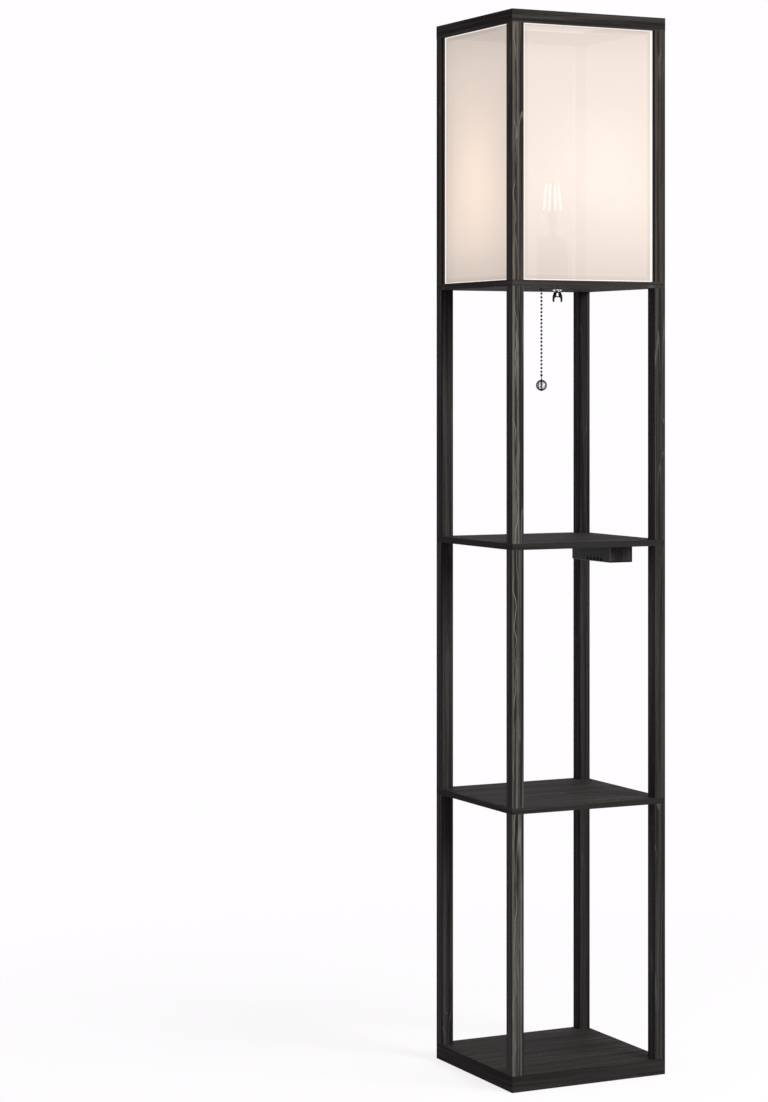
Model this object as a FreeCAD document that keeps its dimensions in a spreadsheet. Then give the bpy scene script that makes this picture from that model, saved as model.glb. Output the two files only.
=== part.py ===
import FreeCAD, Part
import math
import os
import Sketcher
from FreeCAD import Placement, Rotation, Vector

# Shelf floor lamp: a square wooden tower with three open bays, a closed lamp head on top,
# a bead pull chain, a cord clip and a charging box. Millimetres, +Z up, the origin in the
# middle of the underside. The front is -Y and the left side is -X.

SIZES = [
    # the wooden tower
    ("footprint", 260.0, "side of the square plan"),
    ("base_height", 24.0, "thickness of the base board"),
    ("shelf_thickness", 9.3, "thickness of the shelves and the lamp board"),
    ("post_side", 19.5, "side of the square posts and width of the top rails"),
    ("low_post_length", 386.2, "posts between the base and the lower shelf"),
    ("mid_post_length", 381.0, "posts between the two shelves"),
    ("high_post_length", 381.0, "posts between the upper shelf and the lamp board"),
    ("head_post_length", 380.4, "posts beside the shade panels"),
    ("rail_height", 19.5, "height of the top rails"),
    ("edge_break", 0.6, "chamfer along the edges of the wood"),
    # what joins the wood
    ("stud_radius", 3.0, "studs, dowels and the shanks of the base screws"),
    ("stud_grip", 18.0, "depth of a stud in each post"),
    ("drill_clearance", 0.15, "radial clearance round studs, dowels and screws"),
    ("dowel_rise", 9.0, "depth of a top dowel in the rails"),
    ("screw_head_radius", 5.5, "head of a base screw"),
    ("screw_head_height", 3.5, "height of that head"),
    ("screw_sink", 6.0, "how far the base screws are sunk into the underside"),
    # the shade
    ("panel_thickness", 1.0, "frosted panel"),
    ("panel_setback", 5.5, "outside of a post to the outside of a panel"),
    ("groove_clearance", 0.1, "on each side of a panel in its groove"),
    ("groove_depth", 3.0, "grooves in the head posts and the top rails"),
    ("sill_groove_depth", 1.5, "grooves in the lamp board, where the panels stand"),
    ("panel_end_gap", 0.3, "between a panel's edges and the ends of its grooves"),
    # the lamp holder
    ("holder_offset", 5.0, "middle of the tower to the lamp holder's axis, along X"),
    ("cup_radius", 23.5, "outside of the lamp holder's cup"),
    ("cup_height", 71.0, "height of that cup"),
    ("cup_wall", 1.8, "wall of that cup"),
    ("plate_thickness", 3.0, "foot plate of the holder"),
    ("plate_radius", 21.3, "radius of that plate"),
    ("floor_height", 18.0, "lamp board to the insulator's flange"),
    ("floor_thickness", 2.4, "flange of the insulator"),
    ("sleeve_radius", 16.0, "outside of the insulator's sleeve"),
    ("sleeve_wall", 1.4, "wall of that sleeve"),
    ("sleeve_height", 27.5, "height of that sleeve over the flange"),
    ("shell_radius", 13.4, "inside of the brass screw shell"),
    ("shell_wall", 0.4, "wall of that shell"),
    ("shell_height", 24.0, "height of that shell"),
    ("cup_land", 2.0, "ring of the cup that holds the insulator down"),
    ("pillar_radius", 2.2, "pillars under the insulator"),
    ("pillar_reach", 18.0, "holder's axis to a pillar's axis"),
    ("holder_screw_reach", 11.5, "holder's axis to its screws, along Y"),
    # the pull switch
    ("pull_offset", 19.0, "holder's axis to the chain"),
    ("pull_travel", 10.0, "how far the chain pulls down"),
    ("lever_arm", 23.0, "lever's pin to the chain, level"),
    ("lever_thickness", 0.8, "sheet of the lever"),
    ("lever_width", 6.0, "width of the lever"),
    ("lever_overhang", 1.8, "lever beyond the chain"),
    ("lever_slot_width", 1.6, "slot that the chain's link passes"),
    ("hub_radius", 2.6, "hub of the lever"),
    ("hub_length", 6.2, "length of that hub"),
    ("pin_radius", 1.2, "pins of the lever and of the rotor"),
    ("pin_clearance", 0.05, "running clearance on those pins, radial"),
    ("cheek_gap", 6.8, "between the two cheeks of the switch"),
    ("cheek_thickness", 2.0, "each cheek"),
    ("rotor_spacing", 9.0, "lever's pin to the rotor's pin"),
    ("rotor_radius", 4.8, "teeth of the switch rotor"),
    ("rotor_root", 3.4, "bottom of its notches"),
    ("rotor_width", 4.0, "width of the rotor"),
    ("contact_thickness", 0.4, "sheet of the contacts"),
    ("contact_gap", 0.3, "a contact leaf to the rotor's side"),
    ("spring_reach", 16.0, "lever's pin to the tip of the leaf spring, level"),
    ("spring_heel", 5.2, "lever's pin to the fold of that spring, level"),
    ("spring_thickness", 0.3, "sheet of that spring"),
    ("spring_width", 4.0, "width of that spring"),
    ("spring_gap", 0.25, "its tip to the lever above it"),
    # the bead chain
    ("bead_radius", 1.6, "a bead of the pull chain"),
    ("bead_pitch", 5.7, "middle of a bead to the next"),
    ("link_radius", 0.4, "wire between the beads"),
    ("top_bead_height", 18.0, "lamp board to the top bead, which rests on the lever"),
    ("grip_gap", 0.25, "top bead to the lever under it"),
    ("upper_beads", 5.0, "beads above the hole's mouth"),
    ("lower_beads", 23.0, "beads that hang free"),
    ("bead_joint_gap", 0.3, "a link's end to the bead that it swings about"),
    ("ball_radius", 8.65, "clear ball"),
    ("ball_drop", 14.9, "middle of the last bead to the middle of the ball"),
    ("core_radius", 1.5, "pin through the ball"),
    ("core_clearance", 0.1, "radial clearance round that pin"),
    ("bell_radius", 2.4, "bell that grips the last bead"),
    ("bell_wall", 0.5, "wall of that bell"),
    ("bush_bore", 2.6, "radius of the chain hole's bush"),
    ("bush_wall", 1.6, "wall of that bush"),
    ("bush_flange", 2.0, "how far its flange reaches round"),
    ("bush_flange_thickness", 1.2, "thickness of that flange"),
    # the bulb
    ("cap_radius", 13.1, "screw cap of the bulb"),
    ("cap_wall", 0.5, "wall of that cap"),
    ("cap_height", 22.0, "height of that cap"),
    ("cap_lift", 6.0, "insulator's flange to the lower rim of the cap"),
    ("cap_cone", 2.0, "height of the bulb's own insulator under the cap"),
    ("tip_radius", 4.6, "contact at the bulb's tip"),
    ("tip_height", 0.9, "height of that contact"),
    ("glass_wall", 1.0, "wall of the bulb's glass"),
    ("neck_radius", 20.0, "neck of the glass"),
    ("neck_start", 68.0, "lamp board to where the neck has its full width"),
    ("neck_end", 90.0, "lamp board to where the glass begins to widen"),
    ("widest_radius", 36.0, "widest part of the glass"),
    ("widest_height", 124.0, "lamp board to where that part begins"),
    ("shoulder_height", 150.0, "lamp board to where the round top begins"),
    ("glass_top", 187.0, "lamp board to the top of the glass"),
    ("stem_radius", 5.5, "glass tube of the stem"),
    ("pinch_width", 13.5, "flat pinch at the stem's top"),
    ("pinch_thickness", 5.0, "thickness of that pinch"),
    ("pinch_height", 10.0, "height of that pinch"),
    ("stem_top", 96.0, "lamp board to the foot of the pinch"),
    ("rod_radius", 1.5, "glass rod above the pinch"),
    ("filament_radius", 1.1, "bar filament"),
    ("filament_foot", 110.0, "lamp board to the filaments' lower ends"),
    ("filament_head", 154.5, "lamp board to their upper ends"),
    ("filament_foot_reach", 13.8, "bulb's axis to the lower ends"),
    ("filament_head_reach", 9.8, "bulb's axis to the upper ends"),
    ("filament_turn", -7.35, "degrees from +X to the first filament"),
    ("wire_radius", 0.35, "lead wires"),
    # the cord clip
    ("clip_x", 19.0, "middle of the tower to the clip, along X"),
    ("clip_y", 10.0, "middle of the tower to the clip, along Y"),
    ("clip_width", 16.0, "over both legs"),
    ("clip_depth", 3.4, "front to back"),
    ("clip_drop", 15.4, "height of the clip under its stud"),
    ("clip_leg", 2.0, "thickness of a leg"),
    ("clip_bar_drop", 6.2, "clip's top to its crossbar"),
    ("clip_bar", 1.7, "height of that crossbar"),
    ("clip_roof", 1.0, "top of the clip"),
    ("clip_window", 5.2, "width of the window over the crossbar"),
    ("stud_boss_radius", 7.2, "bright stud above the clip"),
    ("stud_boss_height", 4.0, "height of that stud under the lamp board"),
    ("stud_pin_radius", 1.0, "its pin in the board and in the clip"),
    ("stud_pin_length", 7.0, "length of that pin in the board"),
    # the charging box
    ("box_length", 124.0, "along Y"),
    ("box_width", 39.0, "along X"),
    ("box_height", 27.9, "under the upper shelf"),
    ("box_wall", 2.0, "walls of the casing"),
    ("box_corner", 2.5, "radius of its upright corners"),
    ("faceplate_thickness", 2.0, "plate with the outlets"),
    ("faceplate_clearance", 0.15, "round that plate"),
    ("vent_width", 4.4, "vent notch, along Y"),
    ("vent_height", 5.0, "vent notch, upwards"),
    ("vent_spacing", 11.0, "middle of a vent notch to the next"),
    ("vent_start", -34.0, "middle of the tower to the first vent notch, along Y"),
    ("outlet_first", -42.0, "middle of the box to the first outlet, along Y"),
    ("outlet_spacing", 36.0, "first outlet to the second"),
    ("blade_gap", 12.7, "between the two blade slots of an outlet"),
    ("blade_slot_width", 2.0, "height of a blade slot"),
    ("blade_slot_length", 7.6, "length of a blade slot"),
    ("earth_reach", 11.9, "blade slots to the round earth hole"),
    ("earth_radius", 2.5, "round earth hole"),
    ("port_first", 27.0, "middle of the box to the first charging port, along Y"),
    ("port_spacing", 19.0, "first port to the second"),
    ("port_width", 13.2, "charging port's metal shell, along Y"),
    ("port_height", 5.8, "charging port's metal shell, upwards"),
    ("port_depth", 13.0, "charging port's metal shell, inwards"),
    ("port_wall", 0.4, "wall of that shell"),
    ("cord_hole_radius", 4.0, "hole for the mains cord in the back end of the box"),
    ("circuit_thickness", 1.6, "circuit board"),
    ("small_screw_radius", 1.7, "screws of the holder and of the box"),
    ("small_head_radius", 3.2, "heads of those screws"),
    ("small_head_height", 2.0, "height of those heads"),
    ("small_screw_bite", 7.0, "length of those screws in the wood"),
]

doc = FreeCAD.newDocument("shelf_floor_lamp")
sheet = doc.addObject("Spreadsheet::Sheet", "sizes")
for row, (word, amount, meaning) in enumerate(SIZES, start=1):
    sheet.set(f"A{row}", meaning)
    sheet.set(f"B{row}", str(amount))
    sheet.setAlias(f"B{row}", word)
doc.recompute()


class Size:
    """A length that knows its number and the formula on the sheet that gives it."""

    def __init__(self, number, formula):
        self.number = float(number)
        self.formula = formula

    def joined(self, other, sign, swap=False):
        first, second = (as_size(other), self) if swap else (self, as_size(other))
        if sign == "+":
            number = first.number + second.number
        elif sign == "-":
            number = first.number - second.number
        elif sign == "*":
            number = first.number * second.number
        else:
            number = first.number / second.number
        return Size(number, f"({first.formula} {sign} {second.formula})")

    def __add__(self, other):
        return self.joined(other, "+")

    def __radd__(self, other):
        return self.joined(other, "+", True)

    def __sub__(self, other):
        return self.joined(other, "-")

    def __rsub__(self, other):
        return self.joined(other, "-", True)

    def __mul__(self, other):
        return self.joined(other, "*")

    def __rmul__(self, other):
        return self.joined(other, "*", True)

    def __truediv__(self, other):
        return self.joined(other, "/")

    def __neg__(self):
        return self.joined(-1, "*")


def as_size(value):
    return value if isinstance(value, Size) else Size(value, f"({float(value)})")


def size(word):
    return Size(sheet.get(word), f"sizes.{word}")


def number(word):
    return float(sheet.get(word))


def bind(thing, path, value):
    """Sets a size of a document object by its formula on the sheet."""
    thing.setExpression(path, as_size(value).formula)


def place(thing, x=0, y=0, z=0, turn=None):
    """Puts a sub-part where the sheet says. turn is a fixed rotation."""
    x, y, z = as_size(x), as_size(y), as_size(z)
    thing.Placement = Placement(Vector(x.number, y.number, z.number), turn or Rotation())
    bind(thing, "Placement.Base.x", x)
    bind(thing, "Placement.Base.y", y)
    bind(thing, "Placement.Base.z", z)
    return thing


# Sub-parts that are written out, in order.
sub_parts = []

# Flat faces round a turned piece, round a small one, round a bar, a bead or a drilled hole,
# and round a wire.
ROUND_SIDES = 24
SMALL_SIDES = 16
BAR_SIDES = 8
WIRE_SIDES = 4


def keep(thing, name):
    thing.Label = name
    sub_parts.append(thing)
    return thing


# ---- sketches and features -------------------------------------------------------------


def new_body(name):
    return keep(doc.addObject("PartDesign::Body", name), name)


def new_sketch(body, role, name, lift=0):
    """A sketch on one of the body's own planes, lifted along the plane's normal."""
    sketch = body.newObject("Sketcher::SketchObject", f"{body.Name}_{name}")
    plane = [item for item in body.Origin.OriginFeatures if item.Role == role][0]
    sketch.AttachmentSupport = [(plane, "")]
    sketch.MapMode = "FlatFace"
    lift = as_size(lift)
    sketch.AttachmentOffset = Placement(Vector(0, 0, lift.number), Rotation())
    bind(sketch, "AttachmentOffset.Base.z", lift)
    return sketch


def pin_point(sketch, geometry, position, across, up):
    """Holds a point of a sketch at a place from the sketch's origin."""
    for kind, value in (("DistanceX", as_size(across)), ("DistanceY", as_size(up))):
        index = sketch.addConstraint(
            Sketcher.Constraint(kind, -1, 1, geometry, position, value.number))
        bind(sketch, f"Constraints[{index}]", value)


def draw_outline(sketch, corners):
    """A closed outline of straight runs. Each corner is (across, up)."""
    points = [(as_size(across), as_size(up)) for across, up in corners]
    first = sketch.GeometryCount
    for index, (across, up) in enumerate(points):
        after = points[(index + 1) % len(points)]
        sketch.addGeometry(Part.LineSegment(Vector(across.number, up.number, 0),
                                            Vector(after[0].number, after[1].number, 0)), False)
    for index, (across, up) in enumerate(points):
        after = first + (index + 1) % len(points)
        sketch.addConstraint(Sketcher.Constraint("Coincident", first + index, 2, after, 1))
        pin_point(sketch, first + index, 1, across, up)


def draw_box(sketch, across, up, wide, tall):
    """A rectangle by its middle and its sides."""
    across, up, half_wide, half_tall = as_size(across), as_size(up), wide / 2, tall / 2
    draw_outline(sketch, [(across - half_wide, up - half_tall), (across + half_wide, up - half_tall),
                          (across + half_wide, up + half_tall), (across - half_wide, up + half_tall)])


def draw_circle(sketch, across, up, radius):
    across, up, radius = as_size(across), as_size(up), as_size(radius)
    index = sketch.addGeometry(Part.Circle(Vector(across.number, up.number, 0), Vector(0, 0, 1),
                                           radius.number), False)
    pin_point(sketch, index, 3, across, up)
    spot = sketch.addConstraint(Sketcher.Constraint("Radius", index, radius.number))
    bind(sketch, f"Constraints[{spot}]", radius)


def ring_corners(radius, sides):
    """The corners of a regular outline whose flats lie at the radius, with flats facing the axes."""
    reach = as_size(radius) / math.cos(math.pi / sides)
    angles = [2 * math.pi * (step + 0.5) / sides for step in range(sides)]
    return [(math.cos(angle) * reach, math.sin(angle) * reach) for angle in angles]


def draw_ring(sketch, across, up, radius, sides=BAR_SIDES):
    """A round outline in flats, for what stays light: small or hidden holes and bars."""
    draw_outline(sketch, [(across + x, up + y) for x, y in ring_corners(radius, sides)])


def pad(body, sketch, length, name="pad", midplane=False, reverse=False):
    feature = body.newObject("PartDesign::Pad", f"{body.Name}_{name}")
    feature.Profile = sketch
    bind(feature, "Length", length)
    feature.Midplane = midplane
    feature.Reversed = reverse
    doc.recompute()
    return feature


def pocket(body, sketch, depth, name, reverse=False, through=False, midplane=False):
    """Cuts a sketch into the body and makes sure that it takes something away."""
    before = body.Shape.Volume
    feature = body.newObject("PartDesign::Pocket", f"{body.Name}_{name}")
    feature.Profile = sketch
    feature.Reversed = reverse
    feature.Midplane = midplane
    if through:
        feature.Type = 1
    else:
        bind(feature, "Length", depth)
    doc.recompute()
    if not body.Shape.Volume < before - 1e-6:
        raise RuntimeError(f"{feature.Name} cuts nothing")
    return feature


def break_edges(body, base, size_of_break, wanted, name="break"):
    """Chamfers the edges of the last feature for which wanted(edge) is true."""
    chosen = [f"Edge{index}" for index, edge in enumerate(base.Shape.Edges, start=1) if wanted(edge)]
    feature = body.newObject("PartDesign::Chamfer", f"{body.Name}_{name}")
    feature.Base = (base, chosen)
    bind(feature, "Size", size_of_break)
    doc.recompute()
    return feature


def round_edges(body, base, radius, wanted, name="round"):
    chosen = [f"Edge{index}" for index, edge in enumerate(base.Shape.Edges, start=1) if wanted(edge)]
    feature = body.newObject("PartDesign::Fillet", f"{body.Name}_{name}")
    feature.Base = (base, chosen)
    bind(feature, "Radius", radius)
    doc.recompute()
    return feature


def runs_along(edge, direction):
    start, end = edge.Vertexes[0].Point, edge.Vertexes[-1].Point
    if start.distanceToPoint(end) < 1e-6:
        return False
    return abs((end - start).normalize().dot(direction)) > 0.999


def is_upright(edge):
    return runs_along(edge, Vector(0, 0, 1))


def turned(name, profile, sides=ROUND_SIDES):
    """A piece turned about its own Z axis, in flats, from a closed outline of (radius, height).

    A revolved face would cost several times the facets, and the flats of pieces that fit in
    each other have the same corners, so their clearance is the same all round."""
    rings = []
    for radius, height in profile:
        height = as_size(height).number
        rings.append([Vector(x.number, y.number, height) for x, y in ring_corners(radius, sides)])
    faces = []
    for ring, after in zip(rings, rings[1:] + rings[:1]):
        for step in range(sides):
            corners = [ring[step], after[step], after[(step + 1) % sides], ring[(step + 1) % sides]]
            loop = [corner for index, corner in enumerate(corners)
                    if corner.distanceToPoint(corners[index - 1]) > 1e-6]
            if len(loop) > 2:
                faces.append(Part.Face(Part.makePolygon(loop + loop[:1])))
    shell = Part.makeShell(faces)
    shell.sewShape()
    solid = Part.makeSolid(shell).removeSplitter()
    if solid.Volume < 0:
        solid.reverse()
    thing = doc.addObject("Part::Feature", name)
    thing.Shape = solid
    return keep(thing, name)


def primitive_box(name, wide, deep, tall, x, y, z):
    """A box by the middle of its foot."""
    box = doc.addObject("Part::Box", name)
    wide, deep, tall = as_size(wide), as_size(deep), as_size(tall)
    bind(box, "Length", wide)
    bind(box, "Width", deep)
    bind(box, "Height", tall)
    return place(box, as_size(x) - wide / 2, as_size(y) - deep / 2, z)


def primitive_rod(name, radius, length, x, y, z, turn=None):
    rod = doc.addObject("Part::Cylinder", name)
    bind(rod, "Radius", radius)
    bind(rod, "Height", length)
    return place(rod, x, y, z, turn)


def primitive_bar(name, radius, length, x, y, z, turn=None):
    """A bar in flats that fits a hole of draw_ring with the same clearance all round."""
    bar = doc.addObject("Part::Prism", name)
    bar.Polygon = BAR_SIDES
    bind(bar, "Circumradius", radius / math.cos(math.pi / BAR_SIDES))
    bind(bar, "Height", length)
    half_flat = Rotation(Vector(0, 0, 1), 180 / BAR_SIDES)
    return place(bar, x, y, z, turn.multiply(half_flat) if turn else half_flat)


def joined_set(name, pieces):
    """Several separate solids under one name."""
    group = doc.addObject("Part::Compound", name)
    group.Links = pieces
    return keep(group, name)


def fused(name, pieces):
    solid = doc.addObject("Part::MultiFuse", name)
    solid.Shapes = pieces
    return solid


# ---- levels and places that several pieces share ---------------------------------------

footprint = size("footprint")
half_plan = footprint / 2
post_side = size("post_side")
post_reach = half_plan - post_side / 2
inner_reach = half_plan - post_side
shelf_thickness = size("shelf_thickness")
base_top = size("base_height")
lower_shelf_foot = base_top + size("low_post_length")
lower_shelf_top = lower_shelf_foot + shelf_thickness
upper_shelf_foot = lower_shelf_top + size("mid_post_length")
upper_shelf_top = upper_shelf_foot + shelf_thickness
lamp_board_foot = upper_shelf_top + size("high_post_length")
lamp_board_top = lamp_board_foot + shelf_thickness
rail_foot = lamp_board_top + size("head_post_length")

stud_hole = size("stud_radius") + size("drill_clearance")
groove_width = size("panel_thickness") + 2 * size("groove_clearance")
groove_reach = half_plan - size("panel_setback") - size("panel_thickness") / 2
groove_run = 2 * (inner_reach + size("groove_depth"))

holder_x = size("holder_offset")
chain_x = holder_x - size("pull_offset")
chain_y = as_size(0)
bead_pitch = size("bead_pitch")
top_bead = lamp_board_top + size("top_bead_height")

CORNERS = [("front_left", -1, -1), ("front_right", 1, -1), ("back_left", -1, 1), ("back_right", 1, 1)]
SIDES = [("front", 0), ("right", 90), ("back", 180), ("left", 270)]


def quarter_turn(degrees):
    """The cosine and sine of a quarter turn, as whole numbers."""
    return {0: (1, 0), 90: (0, 1), 180: (-1, 0), 270: (0, -1)}[degrees]


# ---- the wooden tower ------------------------------------------------------------------


def make_post(tier, corner, foot, length, grooved):
    """A square post with a drilled hole in each end, and grooves for two panels in the head."""
    name = f"{tier}_post_{corner[0]}"
    body = new_body(name)
    sketch = new_sketch(body, "XY_Plane", "section")
    draw_box(sketch, 0, 0, post_side, post_side)
    column = pad(body, sketch, length)
    break_edges(body, column, size("edge_break"), is_upright)
    grip = size("stud_grip") + size("drill_clearance")
    lower = new_sketch(body, "XY_Plane", "lower_hole_place")
    draw_ring(lower, 0, 0, stud_hole)
    pocket(body, lower, grip, "lower_hole", reverse=True)
    upper = new_sketch(body, "XY_Plane", "upper_hole_place", length)
    draw_ring(upper, 0, 0, stud_hole)
    pocket(body, upper, grip, "upper_hole")
    if grooved:
        # The grooves face the middle of the lamp, so each corner has its own pair.
        across, along = -corner[1], -corner[2]
        depth = size("groove_depth")
        from_axis = post_reach - groove_reach
        grooves = new_sketch(body, "XY_Plane", "groove_places")
        draw_box(grooves, across * (post_side / 2 - depth / 2), along * from_axis,
                 depth, groove_width)
        draw_box(grooves, across * from_axis, along * (post_side / 2 - depth / 2),
                 groove_width, depth)
        pocket(body, grooves, length, "grooves", reverse=True, through=True)
    place(body, corner[1] * post_reach, corner[2] * post_reach, foot)


TIERS = [("low", base_top, size("low_post_length"), False),
         ("mid", lower_shelf_top, size("mid_post_length"), False),
         ("high", upper_shelf_top, size("high_post_length"), False),
         ("head", lamp_board_top, size("head_post_length"), True)]


def draw_corner_rings(sketch, radius):
    for _, x, y in CORNERS:
        draw_ring(sketch, x * post_reach, y * post_reach, radius)


def make_board(name, foot, thickness):
    """A square board with a stud hole through each corner."""
    body = new_body(name)
    sketch = new_sketch(body, "XY_Plane", "plan")
    draw_box(sketch, 0, 0, footprint, footprint)
    slab = pad(body, sketch, thickness)
    break_edges(body, slab, size("edge_break"), is_upright)
    holes = new_sketch(body, "XY_Plane", "stud_hole_places")
    draw_corner_rings(holes, stud_hole)
    pocket(body, holes, thickness, "stud_holes", reverse=True, through=True)
    return place(body, 0, 0, foot)


def make_base_board():
    body = make_board("base_board", as_size(0), base_top)
    sinks = new_sketch(body, "XY_Plane", "screw_sink_places")
    draw_corner_rings(sinks, size("screw_head_radius") + size("drill_clearance"))
    pocket(body, sinks, size("screw_sink"), "screw_sinks", reverse=True)


def make_lamp_board():
    body = make_board("lamp_board", lamp_board_foot, shelf_thickness)
    holes = new_sketch(body, "XY_Plane", "fitting_hole_places")
    draw_ring(holes, chain_x, chain_y,
              size("bush_bore") + size("bush_wall") + size("drill_clearance"), SMALL_SIDES)
    pocket(body, holes, shelf_thickness, "fitting_holes", reverse=True, through=True)
    clip_hole = new_sketch(body, "XY_Plane", "clip_hole_place")
    draw_ring(clip_hole, size("clip_x"), size("clip_y"),
              size("stud_pin_radius") + size("drill_clearance"))
    pocket(body, clip_hole, size("stud_pin_length") + size("drill_clearance"), "clip_hole", reverse=True)
    pilots = new_sketch(body, "XY_Plane", "screw_hole_places", shelf_thickness)
    for side in (-1, 1):
        draw_ring(pilots, holder_x, side * size("holder_screw_reach"),
                  size("small_screw_radius") + size("drill_clearance"))
    pocket(body, pilots, size("small_screw_bite") + size("drill_clearance"), "screw_holes")
    sills = new_sketch(body, "XY_Plane", "sill_groove_places", shelf_thickness)
    for side in (-1, 1):
        draw_box(sills, 0, side * groove_reach, groove_run, groove_width)
        draw_box(sills, side * groove_reach, 0, groove_width, groove_run)
    pocket(body, sills, size("sill_groove_depth"), "sill_grooves")


def make_upper_shelf():
    body = make_board("upper_shelf", upper_shelf_foot, shelf_thickness)
    pilots = new_sketch(body, "XY_Plane", "screw_hole_places")
    for side in (-1, 1):
        draw_ring(pilots, box_middle, side * box_screw_reach,
                  size("small_screw_radius") + size("drill_clearance"))
    pocket(body, pilots, size("small_screw_bite") + size("drill_clearance"), "screw_holes", reverse=True)


def make_top_rail(side, degrees):
    """A rail with mitred ends, a groove underneath for a panel and half of two dowel holes."""
    body = new_body(f"top_rail_{side}")
    plan = new_sketch(body, "XY_Plane", "plan")
    draw_outline(plan, [(-half_plan, -half_plan), (half_plan, -half_plan),
                        (inner_reach, -inner_reach), (-inner_reach, -inner_reach)])
    pad(body, plan, size("rail_height"))
    groove = new_sketch(body, "XY_Plane", "groove_place")
    draw_box(groove, 0, -groove_reach, groove_run, groove_width)
    pocket(body, groove, size("groove_depth"), "groove", reverse=True)
    dowels = new_sketch(body, "XY_Plane", "dowel_hole_places")
    for end in (-1, 1):
        draw_ring(dowels, end * post_reach, -post_reach, stud_hole)
    pocket(body, dowels, size("dowel_rise") + size("drill_clearance"), "dowel_holes", reverse=True)
    place(body, 0, 0, rail_foot, Rotation(Vector(0, 0, 1), degrees))


def make_shade_panel(side, degrees):
    """A frosted panel that stands in the lamp board's groove and reaches into the others."""
    reach = inner_reach + size("groove_depth") - size("panel_end_gap")
    thickness = size("panel_thickness")
    tall = (size("sill_groove_depth") + size("head_post_length") + size("groove_depth")
            - size("panel_end_gap"))
    panel = doc.addObject("Part::Box", f"shade_panel_{side}")
    keep(panel, f"shade_panel_{side}")
    bind(panel, "Length", 2 * reach)
    bind(panel, "Width", thickness)
    bind(panel, "Height", tall)
    cosine, sine = quarter_turn(degrees)
    corner_x, corner_y = -reach, -groove_reach - thickness / 2
    place(panel, cosine * corner_x - sine * corner_y, sine * corner_x + cosine * corner_y,
          lamp_board_top - size("sill_groove_depth"), Rotation(Vector(0, 0, 1), degrees))


def make_tower_fasteners():
    """Studs through the three boards, screws from under the base, dowels into the rails."""
    radius, grip = size("stud_radius"), size("stud_grip")
    studs = []
    for level, foot in (("lower", lower_shelf_foot), ("upper", upper_shelf_foot),
                        ("lamp", lamp_board_foot)):
        for corner, x, y in CORNERS:
            studs.append(primitive_bar(f"stud_{level}_{corner}", radius, 2 * grip + shelf_thickness,
                                       x * post_reach, y * post_reach, foot - grip))
    joined_set("joining_studs", studs)
    screws = []
    for corner, x, y in CORNERS:
        head_foot = size("screw_sink") - size("screw_head_height")
        head = primitive_bar(f"base_screw_head_{corner}", size("screw_head_radius"),
                             size("screw_head_height"), x * post_reach, y * post_reach, head_foot)
        shank = primitive_bar(f"base_screw_shank_{corner}", radius,
                              base_top + grip - size("screw_sink"),
                              x * post_reach, y * post_reach, size("screw_sink"))
        screws.append(fused(f"base_screw_{corner}", [head, shank]))
    joined_set("base_screws", screws)
    dowels = []
    for corner, x, y in CORNERS:
        dowels.append(primitive_bar(f"dowel_{corner}", radius, grip + size("dowel_rise"),
                                    x * post_reach, y * post_reach, rail_foot - grip))
    joined_set("top_dowels", dowels)


# ---- the lamp holder and its pull switch -----------------------------------------------

plate_top = lamp_board_top + size("plate_thickness")
cup_bore = size("cup_radius") - size("cup_wall")
flange_foot = lamp_board_top + size("floor_height")
flange_top = flange_foot + size("floor_thickness")
lever_pin_x = chain_x + size("lever_arm")
# The lever hangs level in the middle of its travel, and its rest is half a travel up.
grip_height = top_bead - (size("bead_radius") + size("lever_thickness") / 2 + size("grip_gap"))
lever_pin_z = grip_height - size("pull_travel") / 2
rotor_x = lever_pin_x + size("rotor_spacing")
lever_tilt = math.degrees(math.atan2(number("pull_travel") / 2, number("lever_arm")))
cheek_reach = size("cheek_gap") / 2 + size("cheek_thickness") / 2
chain_way = size("bead_radius") + 0.8


def make_holder_cup():
    """The outer cup: a plain cylinder with a rolled rim and a land on the insulator."""
    radius, bore, tall = size("cup_radius"), cup_bore, size("cup_height")
    land_foot = flange_top - lamp_board_top + 0.1
    land_top = land_foot + size("cup_land")
    land_bore = size("sleeve_radius") + 0.3
    rim = size("cup_wall") / 3
    body = turned("holder_cup", [(bore, 0), (radius, 0), (radius, tall - rim), (radius - rim, tall),
                                 (bore + rim, tall), (bore, tall - rim), (bore, land_top),
                                 (land_bore, land_top), (land_bore, land_foot), (bore, land_foot)])
    place(body, holder_x, 0, lamp_board_top)


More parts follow.
